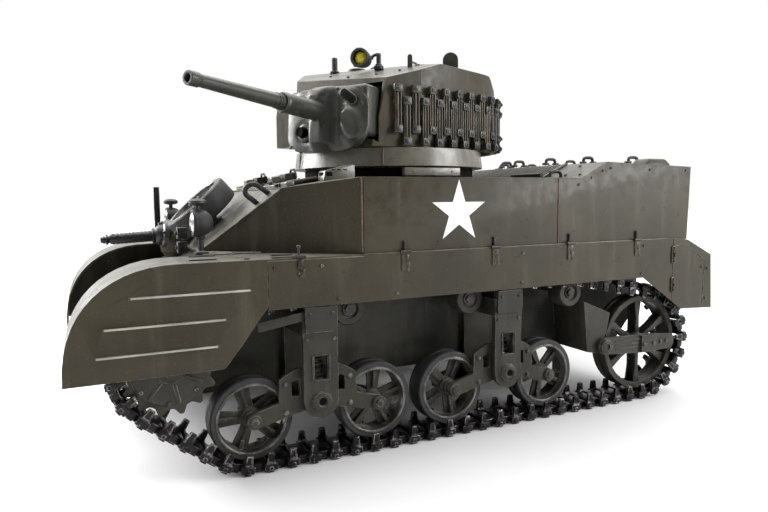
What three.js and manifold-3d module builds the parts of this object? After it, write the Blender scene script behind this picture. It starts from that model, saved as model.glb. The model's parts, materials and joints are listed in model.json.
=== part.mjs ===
// Radio-controlled light tank, sixth scale: hull, turret with elevating gun, and sprung running gear.
// Frame: millimetres, +X forward, +Y to the tank's left, +Z up. The origin is on the ground, under the
// middle of the model's box. Left-hand parts are drawn at positive Y and mirrored for the right.
import * as THREE from 'three';
import { mergeVertices } from 'three/addons/utils/BufferGeometryUtils.js';
import Module from 'manifold-3d';

const wasm = await Module();
wasm.setup();

// ---------- driving dimensions ----------
const GAP = 0.4;                       // air left between pieces that touch
const SIDE_Y = 188;                    // half width of the upper hull
const SKIRT_Y = [188.5, 190.5];        // inner and outer face of the skirts and fender panels
const TUB_Y = 112;                     // half width of the lower hull
const TUB_WALL = 4;
const JOINT_Z = 213.5;                 // where the upper hull sits on the tub
const SKIRT_TOP = 215.8;
const ROOF_Z = 294.6;
const DECK_Z = 314.4;                  // front edge of the raised engine deck
const DECK_X = -208.7;
const REAR_X = -356.8;
const REAR_Z = 309.9;
const RAMP_X = -167.7;
const BEND_X = 120;                    // where the upper sides start to toe in
const BROW = [189, 133, 284.5];        // upper front corner, left
const TOE = [264, 66, 216];            // foot of the sloping front plate, left
const RACE_R = [102, 112];             // turret race on the roof
const TRACK_Y = 154.5;                 // centre of each track
const TRACK_HALF = 18;                 // half width of the shoes
const HORN_HALF = 24.5;                // half width over the end connectors
const PITCH_LINE = 5.2;                // from the pitch line to either face of a shoe
const LINK_PITCH = 23.3;
const CHORD = 2;                       // a straight link cuts inside the curve it follows by this much
const HORN = 10;                       // height of a guide horn
const SPROCKET = { x: 313, z: 115, teeth: 14 };
const WHEEL = { r: 42.35, z: 53, half: 12.7, xs: [236, 100, 4, -132] };
const ROLLER = { r: 17.7, half: 12, at: [[129, 156], [-22.5, 155], [-173, 151]] };
const IDLER = { x: -295, r: 63.5, half: 12 };
const BOGIE = { xs: [168, -64], z: 67, pivot: 12 };
const ARM_PLATES = [[133.5, 139], [169.6, 175]];
const COLUMN_Y = [178, 184];
const IDLER_PIVOT = [-222, 79];
const RING = { low: 125.9, high: 122.9, inner: 100, z: [309.8, 331.5] };
const SHELL_Z = 331.9;
const TURRET_YAW = 30;
const ROOF_TOP = 437.5;
const ROOF_FALL = { z: 451.3, forward: 0.35, left: 0.068 };
const TAIL = { u: -58.7, v: 12.1, r: 106 };
const TRUNNION = [99, 370.5];
const MANTLET = { r: 36, right: -58, left: 62 };
const GUN_ELEVATION = 3.7;
const BARREL = { breech: 8.3, tip: 6.2, collar: 7.2, bore: 4 };
const SLEEVE = { r: 11, end: 108 };
const MUZZLE = 232.5;
const TUB_BELLY = 70;

IDLER.z = 2 * PITCH_LINE + 3 * GAP + IDLER.r;
SPROCKET.r = LINK_PITCH / (2 * Math.sin(Math.PI / SPROCKET.teeth));

// ---------- shape helpers ----------
const rad = (degrees) => degrees * Math.PI / 180;

// A closed body with shared corners, no empty triangles, and its faces pointing out.
function weld(geometry) {
  const bare = new THREE.BufferGeometry();
  bare.setAttribute('position', geometry.attributes.position.clone());
  if (geometry.index) bare.setIndex(geometry.index.clone());
  const merged = mergeVertices(bare, 1e-3);
  const place = merged.attributes.position;
  const old = merged.index.array;
  const corners = [];
  let volume = 0;
  for (let i = 0; i < old.length; i += 3) {
    const [a, b, c] = [old[i], old[i + 1], old[i + 2]];
    if (a === b || b === c || c === a) continue;
    corners.push(a, b, c);
    const p = new THREE.Vector3().fromBufferAttribute(place, a);
    const q = new THREE.Vector3().fromBufferAttribute(place, b);
    const r = new THREE.Vector3().fromBufferAttribute(place, c);
    volume += p.dot(q.cross(r));
  }
  if (volume < 0) corners.reverse();
  const result = new THREE.BufferGeometry();
  result.setAttribute('position', place);
  result.setIndex(corners);
  return result;
}

function solid(geometry) {
  const closed = weld(geometry);
  return new wasm.Manifold(new wasm.Mesh({
    numProp: 3,
    vertProperties: new Float32Array(closed.attributes.position.array),
    triVerts: new Uint32Array(closed.index.array),
  }));
}

function combine(method, first, others) {
  let body = solid(first);
  for (const other of others) body = body[method](solid(other));
  const mesh = body.getMesh();
  const geometry = new THREE.BufferGeometry();
  geometry.setAttribute('position', new THREE.BufferAttribute(new Float32Array(mesh.vertProperties), 3));
  geometry.setIndex(new THREE.BufferAttribute(new Uint32Array(mesh.triVerts), 1));
  return geometry;
}

const join = (first, ...others) => combine('add', first, others);
const cut = (first, ...others) => combine('subtract', first, others);
const common = (first, ...others) => combine('intersect', first, others);

function box(xs, ys, zs) {
  const shape = new THREE.BoxGeometry(xs[1] - xs[0], ys[1] - ys[0], zs[1] - zs[0]);
  return shape.translate((xs[0] + xs[1]) / 2, (ys[0] + ys[1]) / 2, (zs[0] + zs[1]) / 2);
}

function slab(outline, depth, holes = []) {
  const shape = new THREE.Shape(outline.map(([x, y]) => new THREE.Vector2(x, y)));
  for (const hole of holes) shape.holes.push(new THREE.Path(hole.map(([x, y]) => new THREE.Vector2(x, y))));
  return new THREE.ExtrudeGeometry(shape, { depth, bevelEnabled: false, steps: 1 });
}

// Outlines in X and Z pushed along Y, and outlines in X and Y pushed along Z.
const prismY = (outline, y0, y1, holes) => slab(outline, y1 - y0, holes).rotateX(Math.PI / 2).translate(0, y1, 0);
const prismZ = (outline, z0, z1, holes) => slab(outline, z1 - z0, holes).translate(0, 0, z0);

function rodY(x, z, r, y0, y1, sides = 16, r2 = r) {
  const rod = new THREE.CylinderGeometry(r2, r, y1 - y0, sides);
  return rod.translate(x, (y0 + y1) / 2, z);
}

function rodZ(x, y, r, z0, z1, sides = 16, r2 = r) {
  const rod = new THREE.CylinderGeometry(r2, r, z1 - z0, sides).rotateX(Math.PI / 2);
  return rod.translate(x, y, (z0 + z1) / 2);
}

function rodX(y, z, r, x0, x1, sides = 16, r2 = r) {
  const rod = new THREE.CylinderGeometry(r2, r, x1 - x0, sides).rotateZ(-Math.PI / 2);
  return rod.translate((x0 + x1) / 2, y, z);
}

// A closed profile of [radius, height] points turned about Y or Z.
function turnY(profile, sides) {
  const points = [...profile, profile[0]].map(([r, y]) => new THREE.Vector2(r, y));
  return new THREE.LatheGeometry(points, sides);
}

const turnZ = (profile, sides) => turnY(profile, sides).rotateX(Math.PI / 2);

function arc(cx, cz, r, from, to, steps) {
  const points = [];
  for (let i = 0; i <= steps; i += 1) {
    const angle = rad(from + (to - from) * i / steps);
    points.push([cx + r * Math.cos(angle), cz + r * Math.sin(angle)]);
  }
  return points;
}

const polar = (r, degrees) => [r * Math.cos(rad(degrees)), r * Math.sin(rad(degrees))];
const mirrored = (geometry) => geometry.clone().scale(1, -1, 1);
const between = (a, b, t) => a + (b - a) * t;

// ---------- materials ----------
function paint(name, color, roughness, metalness) {
  const material = new THREE.MeshStandardMaterial({ color, roughness, metalness });
  material.name = name;
  return material;
}

const olive = paint('olive_paint', 0x4b493d, 0.6, 0.1);
const steel = paint('track_steel', 0x1b1a19, 0.45, 0.7);
const rubber = paint('rubber', 0x151515, 0.9, 0);
const black = paint('black_metal', 0x161718, 0.5, 0.5);
const lampGlass = paint('yellow_lens', 0xd8c916, 0.2, 0);
const motorMetal = paint('motor_can', 0xa9abac, 0.35, 0.9);
const trayPlastic = paint('tray_plastic', 0x20262c, 0.6, 0);

const model = new THREE.Group();

function piece(name, geometry, material, parent = model) {
  const closed = weld(geometry);
  closed.computeVertexNormals();
  const mesh = new THREE.Mesh(closed, material);
  mesh.name = name;
  parent.add(mesh);
  return mesh;
}

// The same piece on both sides, drawn for the left.
function pair(name, geometry, material) {
  piece(`${name}_left`, geometry, material);
  piece(`${name}_right`, mirrored(geometry), material);
}

// A wheel drawn about its own centre, set on both sides at x, z.
function wheelPair(name, geometry, material, x, z) {
  piece(`${name}_left`, geometry, material).position.set(x, TRACK_Y, z);
  piece(`${name}_right`, mirrored(geometry), material).position.set(x, -TRACK_Y, z);
}

// ---------- lower hull ----------
function tubProfile(inset) {
  const nose = arc(296, 126, 58 - inset, -90, 55, 9);
  const top = JOINT_Z - GAP;
  return [
    [-345 + inset, top + (inset ? 1 : 0)],
    [-345 + inset, 112 + inset * 0.4],
    [-308 + inset * 0.4, TUB_BELLY + inset],
    ...nose.map(([x, z]) => [x, Math.max(z, TUB_BELLY + inset)]),
    [255.5 - inset * 1.4, top + (inset ? 1 : 0)],
  ];
}

function idlerBracket() {
  const plate = [[-190, 139], [-234, 121], [-229, 96], [-212, 70], [-197, 73]];
  const arm = prismY(plate, TUB_Y - 1, 168);
  const cheek = prismY(plate, 167, 172);
  const relief = rodY(IDLER.x, IDLER.z, IDLER.r + 4, 120, 168, 28);
  const pin = rodY(...IDLER_PIVOT, 4.5, 171, 181, 12);
  return join(cut(arm, relief), cheek, pin);
}

function lowerHull() {
  const shell = cut(
    prismY(tubProfile(0), -TUB_Y, TUB_Y),
    prismY(tubProfile(TUB_WALL), -TUB_Y + TUB_WALL, TUB_Y - TUB_WALL),
  );
  const fittings = [rodY(SPROCKET.x, SPROCKET.z, 30, TUB_Y - 1, 122, 20), idlerBracket()];
  fittings.push(rodY(SPROCKET.x, SPROCKET.z, 6, 121, 176, 10));
  for (const [x, z] of ROLLER.at) {
    fittings.push(rodY(x, z, 4, TUB_Y - 1, 168, 8));
  }
  return join(shell, ...fittings, ...fittings.map(mirrored));
}

// ---------- upper hull ----------
const deckLine = (x) => DECK_Z + (x - DECK_X) * (DECK_Z - REAR_Z) / (DECK_X - REAR_X);
const browLine = (x) => ROOF_Z + (x - BEND_X) * (BROW[2] - ROOF_Z) / (BROW[0] - BEND_X);

function upperEnvelope(wall, roof) {
  const slope = (TOE[1] - SIDE_Y) / (TOE[0] - BEND_X);
  const toeY = TOE[1] - wall * 1.3;
  const plan = [
    [-353 + wall, -SIDE_Y + wall], [BEND_X - wall * 0.4, -SIDE_Y + wall],
    [TOE[0], -toeY], [TOE[0], toeY],
    [BEND_X - wall * 0.4, SIDE_Y - wall], [-353 + wall, SIDE_Y - wall],
  ];
  const side = [
    [-353 + wall, JOINT_Z + wall], [REAR_X + wall, REAR_Z - roof], [DECK_X - roof * 0.3, DECK_Z - roof],
    [RAMP_X - roof * 0.3, ROOF_Z - roof], [BEND_X - roof * 0.1, ROOF_Z - roof],
    [BROW[0] - roof * 0.5, BROW[2] - roof], [TOE[0] - wall * 1.4, TOE[2] + wall * 0.2],
    [TOE[0] - wall * 1.4, JOINT_Z + wall],
  ];
  const reach = SIDE_Y + Math.abs(slope);
  const rearPlan = plan.map(([x, y]) => [x < 0 ? REAR_X - 1 : x, y]);
  return common(prismZ(rearPlan, JOINT_Z, 330), prismY(side, -reach, reach));
}

function deckBand(x0, x1, low, high, y) {
  const outline = [
    [x0, deckLine(x0) + low], [x1, deckLine(x1) + low], [x1, deckLine(x1) + high], [x0, deckLine(x0) + high],
  ];
  return prismY(outline, -y, y);
}

function browBand(x0, x1, low, high, y0, y1) {
  const outline = [
    [x0, browLine(x0) + low], [x1, browLine(x1) + low], [x1, browLine(x1) + high], [x0, browLine(x0) + high],
  ];
  return prismY(outline, y0, y1);
}

function bowBlister() {
  const dome = new THREE.SphereGeometry(27, 14, 8).rotateX(Math.PI / 2).translate(266, -60, 219);
  const ball = new THREE.SphereGeometry(14.8, 12, 8).rotateX(Math.PI / 2).translate(288, -60, 229);
  const below = prismY([[200, 214], [256.5, 214], [330, 174.6], [330, 150], [200, 150]], -100, -20);
  const glacisSlope = (BROW[2] - TOE[2]) / (BROW[0] - TOE[0]);
  const back = TOE[0] - 14;
  const behind = prismY([
    [200, 150], [back, 150], [back, TOE[2] + (back - TOE[0]) * glacisSlope - 2],
    [200, TOE[2] + (200 - TOE[0]) * glacisSlope - 2],
  ], -100, -20);
  return cut(dome, ball, below, behind);
}

function upperHull() {
  const shell = cut(
    upperEnvelope(0, 0),
    upperEnvelope(3, 4),
    box([-340, 246], [-TUB_Y + 6, TUB_Y - 6], [JOINT_Z - 1, JOINT_Z + 4]),
    rodZ(0, 0, RACE_R[0], 280, 300, 32),
    deckBand(-340, -213, -3, 2, 150),
    deckBand(-332, -221, -9, 2, 142),
    browBand(136, 177, -9, 3, 36, 90),
    browBand(136, 177, -9, 3, -90, -36),
  );
  const [inner, outer] = RACE_R;
  const low = ROOF_Z - 2;
  const top = RING.z[0] - GAP;
  const race = turnZ([[inner, low], [outer, low], [outer, top], [inner, top]], 32);
  return join(shell, race, bowBlister());
}

function engineDeck() {
  const plate = deckBand(-340 + GAP, -213 - GAP, -3 + GAP, 0, 150 - GAP);
  const doors = [-1, 1].map((side) => {
    const door = deckBand(-331, -258, -1, 2, 55);
    return door.translate(0, side * 66, 0);
  });
  return join(plate, ...doors, deckBand(-250, -222, -1, 1.6, 118));
}

function driverHatch() {
  const plate = browBand(132, 181, GAP, GAP + 4, 32, 94);
  const hood = browBand(154, 168, GAP + 3, GAP + 13, 52, 74);
  const slope = Math.atan2(ROOF_Z - BROW[2], BROW[0] - BEND_X);
  const hinge = rodX(0, 0, 2.6, -18, 18, 10).rotateY(slope).translate(156, 97, browLine(156) + GAP + 3);
  const strap = browBand(142, 170, GAP + 1, GAP + 3.6, 93, 97);
  return join(plate, hood, hinge, strap);
}

// ---------- fenders and skirts ----------
const FENDER = { x0: 300, z0: 114, rx: 103, rz: 101.5, power: 2.35 };

// The fender's round nose is a superellipse, a little squarer than a circle.
function fenderNose(inset, steps) {
  const points = [];
  for (let i = 0; i <= steps; i += 1) {
    const angle = Math.PI / 2 * i / steps;
    const x = (FENDER.rx - inset) * Math.cos(angle) ** (2 / FENDER.power);
    const z = (FENDER.rz - inset) * Math.sin(angle) ** (2 / FENDER.power);
    points.push([FENDER.x0 + x, FENDER.z0 + z]);
  }
  return points;
}

function frontFender() {
  const top = FENDER.z0 + FENDER.rz;
  const panel = prismY(
    [...fenderNose(0, 14), [222.4, top], [222.4, 170.4], [246.3, 138.3], [265.7, FENDER.z0]],
    ...SKIRT_Y,
  );
  const hood = prismY(
    [...fenderNose(0, 14), ...fenderNose(2, 14).reverse()],
    TUB_Y + 1, SKIRT_Y[1],
  );
  const toeSlope = (TOE[1] - SIDE_Y) / (TOE[0] - BEND_X);
  const edge = (x) => SIDE_Y + (x - BEND_X) * toeSlope + 1.6;
  const shelf = prismZ(
    [[BEND_X + 3, SKIRT_Y[1]], [BEND_X + 3, edge(BEND_X + 3)], [214, edge(214)], [214, TUB_Y + 2],
      [301, TUB_Y + 2], [301, SKIRT_Y[1]]],
    top - 2, top,
  );
  const ribs = [[239, 347, 187], [263, 369.5, 161], [271, 377, 136.5]].map(
    ([x0, x1, z]) => box([x0, x1], [SKIRT_Y[1] - 0.5, SKIRT_Y[1] + 1], [z - 1.2, z + 1.2]),
  );
  return join(panel, hood, shelf, ...ribs);
}

function skirtClip(x) {
  const strap = box([x - 4, x + 4], [SKIRT_Y[1] - 0.5, SKIRT_Y[1] + 1.6], [196, SKIRT_TOP]);
  return strap;
}

function sideSkirt() {
  const panel = prismY(
    [[222, SKIRT_TOP - 2.4], [122, SKIRT_TOP - 2.4], [122, SKIRT_TOP], [-325, SKIRT_TOP], [-325, 131.8],
      [-272.8, 166.6], [222, 166]],
    ...SKIRT_Y,
  );
  return join(panel, ...[74.6, -40, -149, -259].map(skirtClip));
}

function rearSkirt() {
  return prismY(
    [[-325.5, SKIRT_TOP], [-353, 213], [-399, 191], [-403, 117], [-342.7, 120], [-325.5, 131.5]],
    ...SKIRT_Y,
  );
}

// ---------- track ----------
// The pitch line is a belt round the sprocket, first wheel, idler and return rollers.
function beltPoints() {
  const rounds = [
    [SPROCKET.x, SPROCKET.z, SPROCKET.r],
    [WHEEL.xs[0] + 2 * CHORD, WHEEL.z + CHORD, WHEEL.z + CHORD - PITCH_LINE],
    [IDLER.x, IDLER.z + CHORD, IDLER.z + CHORD - PITCH_LINE],
    ...ROLLER.at.map(([x, z]) => [x, z, ROLLER.r + 2 * GAP + PITCH_LINE]),
  ];
  const cloud = rounds.flatMap(([x, z, r]) => arc(x, z, r, 0, 358, 179));
  cloud.sort((a, b) => a[0] - b[0] || a[1] - b[1]);
  const turns = (o, a, b) => (a[0] - o[0]) * (b[1] - o[1]) - (a[1] - o[1]) * (b[0] - o[0]);
  const chain = (points) => {
    const kept = [];
    for (const point of points) {
      while (kept.length > 1 && turns(kept.at(-2), kept.at(-1), point) <= 0) kept.pop();
      kept.push(point);
    }
    return kept.slice(0, -1);
  };
  return [...chain(cloud), ...chain(cloud.reverse())];
}

// Joints between links, evenly spaced round the belt, each with the belt's outward direction.
function linkJoints() {
  const belt = beltPoints();
  const lengths = belt.map(([x, z], i) => {
    const next = belt[(i + 1) % belt.length];
    return Math.hypot(next[0] - x, next[1] - z);
  });
  const total = lengths.reduce((sum, length) => sum + length, 0);
  const count = Math.round(total / LINK_PITCH);
  const joints = [];
  let reached = 0;
  let edge = 0;
  for (let i = 0; i < count; i += 1) {
    const goal = total * i / count;
    while (reached + lengths[edge] < goal) {
      reached += lengths[edge];
      edge += 1;
    }
    const [a, b] = [belt[edge], belt[(edge + 1) % belt.length]];
    const t = (goal - reached) / lengths[edge];
    joints.push([between(a[0], b[0], t), between(a[1], b[1], t)]);
  }
  return joints.map(([x, z], i) => {
    const before = joints[(i + count - 1) % count];
    const after = joints[(i + 1) % count];
    const span = Math.hypot(after[0] - before[0], after[1] - before[1]);
    return { x, z, nx: (after[1] - before[1]) / span, nz: -(after[0] - before[0]) / span };
  });
}

// The same closed outline without the points that lie on a straight run.
function straightened(points) {
  return points.filter(([x, z], i) => {
    const before = points.at(i - 1);
    const after = points[(i + 1) % points.length];
    return Math.abs((x - before[0]) * (after[1] - z) - (z - before[1]) * (after[0] - x)) > 0.5;
  });
}

function trackLoop() {
  const joints = linkJoints();
  const offset = (link, distance, along = 0) => [
    link.x + link.nx * distance - link.nz * along,
    link.z + link.nz * distance + link.nx * along,
  ];
  const outer = straightened(joints.map((link) => offset(link, PITCH_LINE)));
  const inner = straightened(joints.map((link) => offset(link, -PITCH_LINE + GAP)));
  const horned = joints.flatMap((link) => [
    offset(link, -PITCH_LINE, -4.5), offset(link, -PITCH_LINE - HORN), offset(link, -PITCH_LINE, 4.5),
  ]);
  const flat = outer.map(([x, z]) => [x, Math.max(z, 0)]);
  const shoes = prismY(flat, -TRACK_HALF, TRACK_HALF, [inner]);
  const near = prismY(flat, TRACK_HALF, HORN_HALF, [horned]);
  const far = prismY(flat, -HORN_HALF, -TRACK_HALF, [horned.filter((_, i) => i % 6 < 3)]);
  return join(shoes, near, far).translate(0, TRACK_Y, 0);
}

// ---------- wheels ----------
// Spokes are bars from the hub to the rim, spread evenly from the lowest one.
function spokes(count, inner, outer, width, half) {
  return Array.from({ length: count }, (_, i) => {
    const bar = box([inner, outer], [-half, half], [-width / 2, width / 2]);
    return bar.rotateY(Math.PI / 2 + i * 2 * Math.PI / count);
  });
}

function roadWheel() {
  const { r, half } = WHEEL;
  const rim = turnY([[34, -half], [r, -half], [r, half], [34, half]], 22);
  const hub = rodY(0, 0, 9, -half, half + 1.4, 10);
  const bore = rodY(0, 0, 5.5, -half - 1, half + 3, 8);
  return cut(join(rim, hub, ...spokes(5, 5, 35.5, 9, 5)), bore);
}

function returnRoller() {
  const { r, half } = ROLLER;
  return turnY([[4.6, -half], [r, -half], [r, half], [4.6, half]], 16);
}

function idlerWheel() {
  const { r, half } = IDLER;
  const rim = turnY([[54, -half], [r, -half], [r, half], [54, half]], 28);
  const hub = rodY(0, 0, 11, -half, half, 10);
  const bore = rodY(0, 0, 6.6, -half - 1, half + 1, 10);
  return cut(join(rim, hub, ...spokes(6, 6, 56, 8, 6)), bore);
}

function driveSprocket() {
  const tip = SPROCKET.r - PITCH_LINE - CHORD;
  const root = tip - 7;
  const teeth = Array.from({ length: SPROCKET.teeth }, (_, i) => {
    const step = 360 / SPROCKET.teeth;
    return [
      polar(root, (i - 0.3) * step), polar(tip, (i - 0.1) * step),
      polar(tip, (i + 0.1) * step), polar(root, (i + 0.3) * step),
    ];
  }).flat();
  const windows = Array.from({ length: 7 }, (_, i) => {
    const start = i * 360 / 7;
    return [polar(32, start + 14), polar(32, start + 38), polar(21, start + 26)];
  });
  const rings = [prismY(teeth, 12, 16, windows), prismY(teeth, -16, -12)];
  const drum = rodY(0, 0, 17, -17, 17, 14);
  const cap = rodY(0, 0, 12, 16, 23, 12, 9);
  const bore = rodY(0, 0, 6.6, -20, 22.5, 10);
  return cut(join(drum, ...rings, cap), bore);
}

// ---------- suspension ----------
// One trailing arm, drawn for the wheel ahead of its bogie; the one behind is its mirror image in X.
// The outer plate carries the lug and the upper lever as one profile with a window in it.
function bogieArm() {
  const reach = WHEEL.xs[0] - BOGIE.xs[0];
  const drop = WHEEL.z - BOGIE.z;
  const pivot = BOGIE.pivot;
  const outline = [
    ...arc(reach, drop, 8, -100, 80, 4), [42, 1], [41.5, 24], [36, 28], [24, 34], [pivot - 6, 35],
    [pivot - 9, -6], ...arc(pivot, 0, 9.2, 200, 262, 2),
  ];
  const window = [[20, 6], [29, 6], [29, 21], [20, 24]];
  const outer = prismY(outline, ...ARM_PLATES[1], [window]);
  const strap = [...arc(reach, drop, 8, -100, 80, 3), ...arc(pivot, 0, 9.2, 80, 262, 4)];
  const inner = prismY(strap, ...ARM_PLATES[0]);
  const [from, to] = [ARM_PLATES[0][0], ARM_PLATES[1][1]];
  const tube = rodY(pivot, 0, 9, from, to, 10);
  const axle = rodY(reach, drop, 5, from + 1, to - 1, 8);
  const bore = rodY(pivot, 0, 4.6, from - 2, to + 2, 8);
  return cut(join(outer, inner, tube, axle), bore);
}

function bogieBracket() {
  const [inner, outer] = COLUMN_Y;
  const column = [...arc(0, 0, 18.5, 180, 360, 6), [18.5, 72], [-18.5, 72]];
  const slot = [[-7, 22], [7, 22], [7, 47], [-7, 47]];
  const face = prismY(column, inner, outer, [slot]);
  const backPlate = box([-18.5, 18.5], [TUB_Y + 0.8, TUB_Y + 6], [-17, 72]);
  const head = box([-19, 19], [TUB_Y + 0.8, outer], [68, 88]);
  const hanger = box([-17, 17], [TRACK_Y + HORN_HALF + 1, SKIRT_Y[0] - GAP], [72, 98]);
  const boss = cut(rodY(0, 0, 10.5, outer - 1, outer + 2, 12), rodY(0, 0, 4, outer, outer + 3, 6));
  const pins = [-BOGIE.pivot, BOGIE.pivot].map((x) => rodY(x, 0, 4, TUB_Y + 5, inner + 1, 8));
  return join(face, backPlate, head, hanger, boss, ...pins);
}

function idlerArm() {
  const [px, pz] = IDLER_PIVOT;
  const [y0, y1] = [173, 178];
  const far = -342;
  const bar = prismY([
    ...arc(px, pz, 11, -80, 80, 6), [IDLER.x, IDLER.z + 13], [far, IDLER.z + 9],
    [far - 4, IDLER.z + 4], [far - 4, IDLER.z - 5], [far, IDLER.z - 10], [IDLER.x, IDLER.z - 12],
  ], y0, y1);
  const axle = rodY(IDLER.x, IDLER.z, 6, 142, y1 - 1, 12);
  const clamp = box([IDLER.x - 14, IDLER.x + 12], [y1 - 1, y1 + 3.5], [IDLER.z - 10, IDLER.z + 12]);
  const collar = rodY(px, pz, 9, y1 - 1, y1 + 2.5, 14);
  const bore = rodY(px, pz, 4.9, y0 - 2, y1 + 4, 14);
  return cut(join(bar, axle, clamp, collar), bore);
}

// ---------- turret ----------
const turret = new THREE.Group();
turret.rotation.z = rad(TURRET_YAW);
model.add(turret);

const gun = new THREE.Group();
gun.position.set(TRUNNION[0], 0, TRUNNION[1]);
gun.rotation.y = -rad(GUN_ELEVATION);
turret.add(gun);

// The plan is a horseshoe: a narrow front plate, flared cheeks and a broad round tail.
function turretPlan(inset) {
  const left = [
    [122 - inset, 59 - inset * 0.55], [66 - inset * 0.4, 92 - inset * 0.92], [21.5, 104.8 - inset],
    ...arc(TAIL.u, TAIL.v, TAIL.r - inset, 78, 180, 11),
  ];
  return [...left, ...left.map(([u, v]) => [u, -v]).reverse()];
}

function turretSide(inset) {
  const base = SHELL_Z - (inset ? 5 : 0);
  const roof = ROOF_TOP - inset;
  return [
    [122 - inset * 1.03, base], [97.3 - inset * 1.03, 439], [90, roof], [-50, roof], [-66 + inset * 0.3, 431 - inset], [-105 + inset * 0.4, 404 - inset],
    [-164.7 + inset, 390 - inset], [-164.7 + inset, base],
  ];
}

// The front of the roof is a flat face that falls forwards, and a little to the left.
function turretBrow(inset) {
  const { z, forward, left } = ROOF_FALL;
  const outline = [[-200, z + 200 * forward - inset], [-200, 200], [200, 200], [200, z - 200 * forward - inset]];
  return prismY(outline, -170, 170).rotateX(-Math.atan(left));
}

// The rest of the roof falls away a little towards the left wall.
function turretLoaf(inset) {
  const outline = [
    [-125, ROOF_TOP - inset], [-125, 320], [125, 320], [125, ROOF_TOP - 7 - inset], [66, ROOF_TOP - inset],
  ];
  return slab(outline, 340).rotateX(Math.PI / 2).rotateZ(Math.PI / 2).translate(-180, 0, 0);
}

function turretEnvelope(inset) {
  return common(
    prismZ(turretPlan(inset), 320, 460), prismY(turretSide(inset), -125, 125), turretLoaf(inset),
    turretBrow(inset),
  );
}

const HATCH = { u: [-46, 14], v: [5, 58], lap: 4 };

// Room for the mantlet to turn in.
function mantletRecess() {
  const { r, right, left } = MANTLET;
  return rodY(TRUNNION[0], TRUNNION[1], r + 1, right - 1.5, left + 1.5, 24);
}

function hatchway(side) {
  const ends = [side * (HATCH.v[0] + HATCH.lap), side * (HATCH.v[1] - HATCH.lap)].sort((a, b) => a - b);
  return box([HATCH.u[0] + HATCH.lap, HATCH.u[1] - HATCH.lap], ends, [ROOF_TOP - 9, ROOF_TOP + 3]);
}

function turretShell() {
  const shell = cut(turretEnvelope(0), turretEnvelope(5), mantletRecess(), hatchway(1), hatchway(-1));
  return join(shell, gunShield());
}

// A shield with a rounded top, hung on the turret's right side.
function gunShield() {
  const profile = [[-86, 341], [-126, 341], [-126, 381], ...arc(-97, 381, 29, 174, 96, 5), [-86, 410]];
  const block = slab(profile, 104).rotateX(Math.PI / 2).rotateZ(Math.PI / 2).translate(-20, 0, 0);
  return cut(block, turretEnvelope(2));
}

function turretRing() {
  const { low, high, inner, z } = RING;
  return turnZ([[inner, z[0]], [low, z[0]], [high, z[1]], [inner, z[1]]], 32);
}

function turretHatch() {
  const base = ROOF_TOP + GAP;
  const plate = box(HATCH.u, HATCH.v, [base, base + 3.2]);
  const pad = box([-32, 0], [18, 44], [base + 3, base + 7.6]);
  const bar = box([-34, 2], [HATCH.v[1] - 1, HATCH.v[1] + 4], [base, base + 3.2]);
  return join(plate, pad, bar);
}

// The left wall from the front cheek to the tail, moved outwards.
function leftWall(out) {
  return [
    [100 + 0.51 * out, 72 + 0.86 * out], [66 + 0.39 * out, 92 + 0.92 * out], [21.5 + 0.22 * out, 104.8 + out],
    ...arc(TAIL.u, TAIL.v, TAIL.r + out, 79, 150, 8),
  ];
}

// Vertical spare links along the left wall and round the tail, alternately high and low.
function spareTrackRack() {
  const path = leftWall(0.6);
  const band = prismZ([...path, ...leftWall(3.2).reverse()], 353, 384);
  const lengths = path.slice(1).map(([u, v], i) => Math.hypot(u - path[i][0], v - path[i][1]));
  const total = lengths.reduce((sum, length) => sum + length, 0);
  const count = Math.round(total / (LINK_PITCH / 2));
  const blocks = Array.from({ length: count }, (_, i) => {
    let goal = total * (i + 0.5) / count;
    let edge = 0;
    while (goal > lengths[edge]) {
      goal -= lengths[edge];
      edge += 1;
    }
    const [a, b] = [path[edge], path[edge + 1]];
    const t = goal / lengths[edge];
    const heading = Math.atan2(b[1] - a[1], b[0] - a[0]);
    const shift = i % 2 ? -14 : 0;
    const block = box([-3.8, 3.8], [-9, -1.5], [347 + shift, 404 + shift]).rotateZ(heading);
    return block.translate(between(a[0], b[0], t), between(a[1], b[1], t), 0);
  });
  return join(band, ...blocks);
}

function mantletShield() {
  const { r, right, left } = MANTLET;
  const drum = turnY(
    [[0, right], [r - 9, right], [r - 2, right + 5], [r, right + 14], [r, left - 14], [r - 2, left - 5],
      [r - 9, left], [0, left]],
    24,
  );
  const back = box([-60, 6], [-120, 120], [-60, 60]).rotateY(rad(GUN_ELEVATION));
  const sleeve = rodX(0, 0, SLEEVE.r, 20, SLEEVE.end, 16);
  const bore = rodX(0, 0, BARREL.breech + GAP, 14, SLEEVE.end + 1, 16);
  const coaxial = rodX(-27, -20, 5, 20, 50, 12);
  const sight = rodX(36, 18, 4.2, 20, 50, 12);
  return cut(join(cut(drum, back), sleeve), bore, coaxial, sight);
}

function gunBarrel() {
  const { breech, tip, collar, bore } = BARREL;
  return turnY(
    [[0, 16], [breech, 16], [breech, SLEEVE.end], [tip, MUZZLE - 12], [collar, MUZZLE - 11], [collar, MUZZLE],
      [bore, MUZZLE], [bore, MUZZLE - 40], [0, MUZZLE - 40]],
    16,
  ).rotateZ(-Math.PI / 2);
}

// ---------- lamps, spare wheel, bow gun ----------
const LAMP = [270.6, 105, 248.9];

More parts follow.
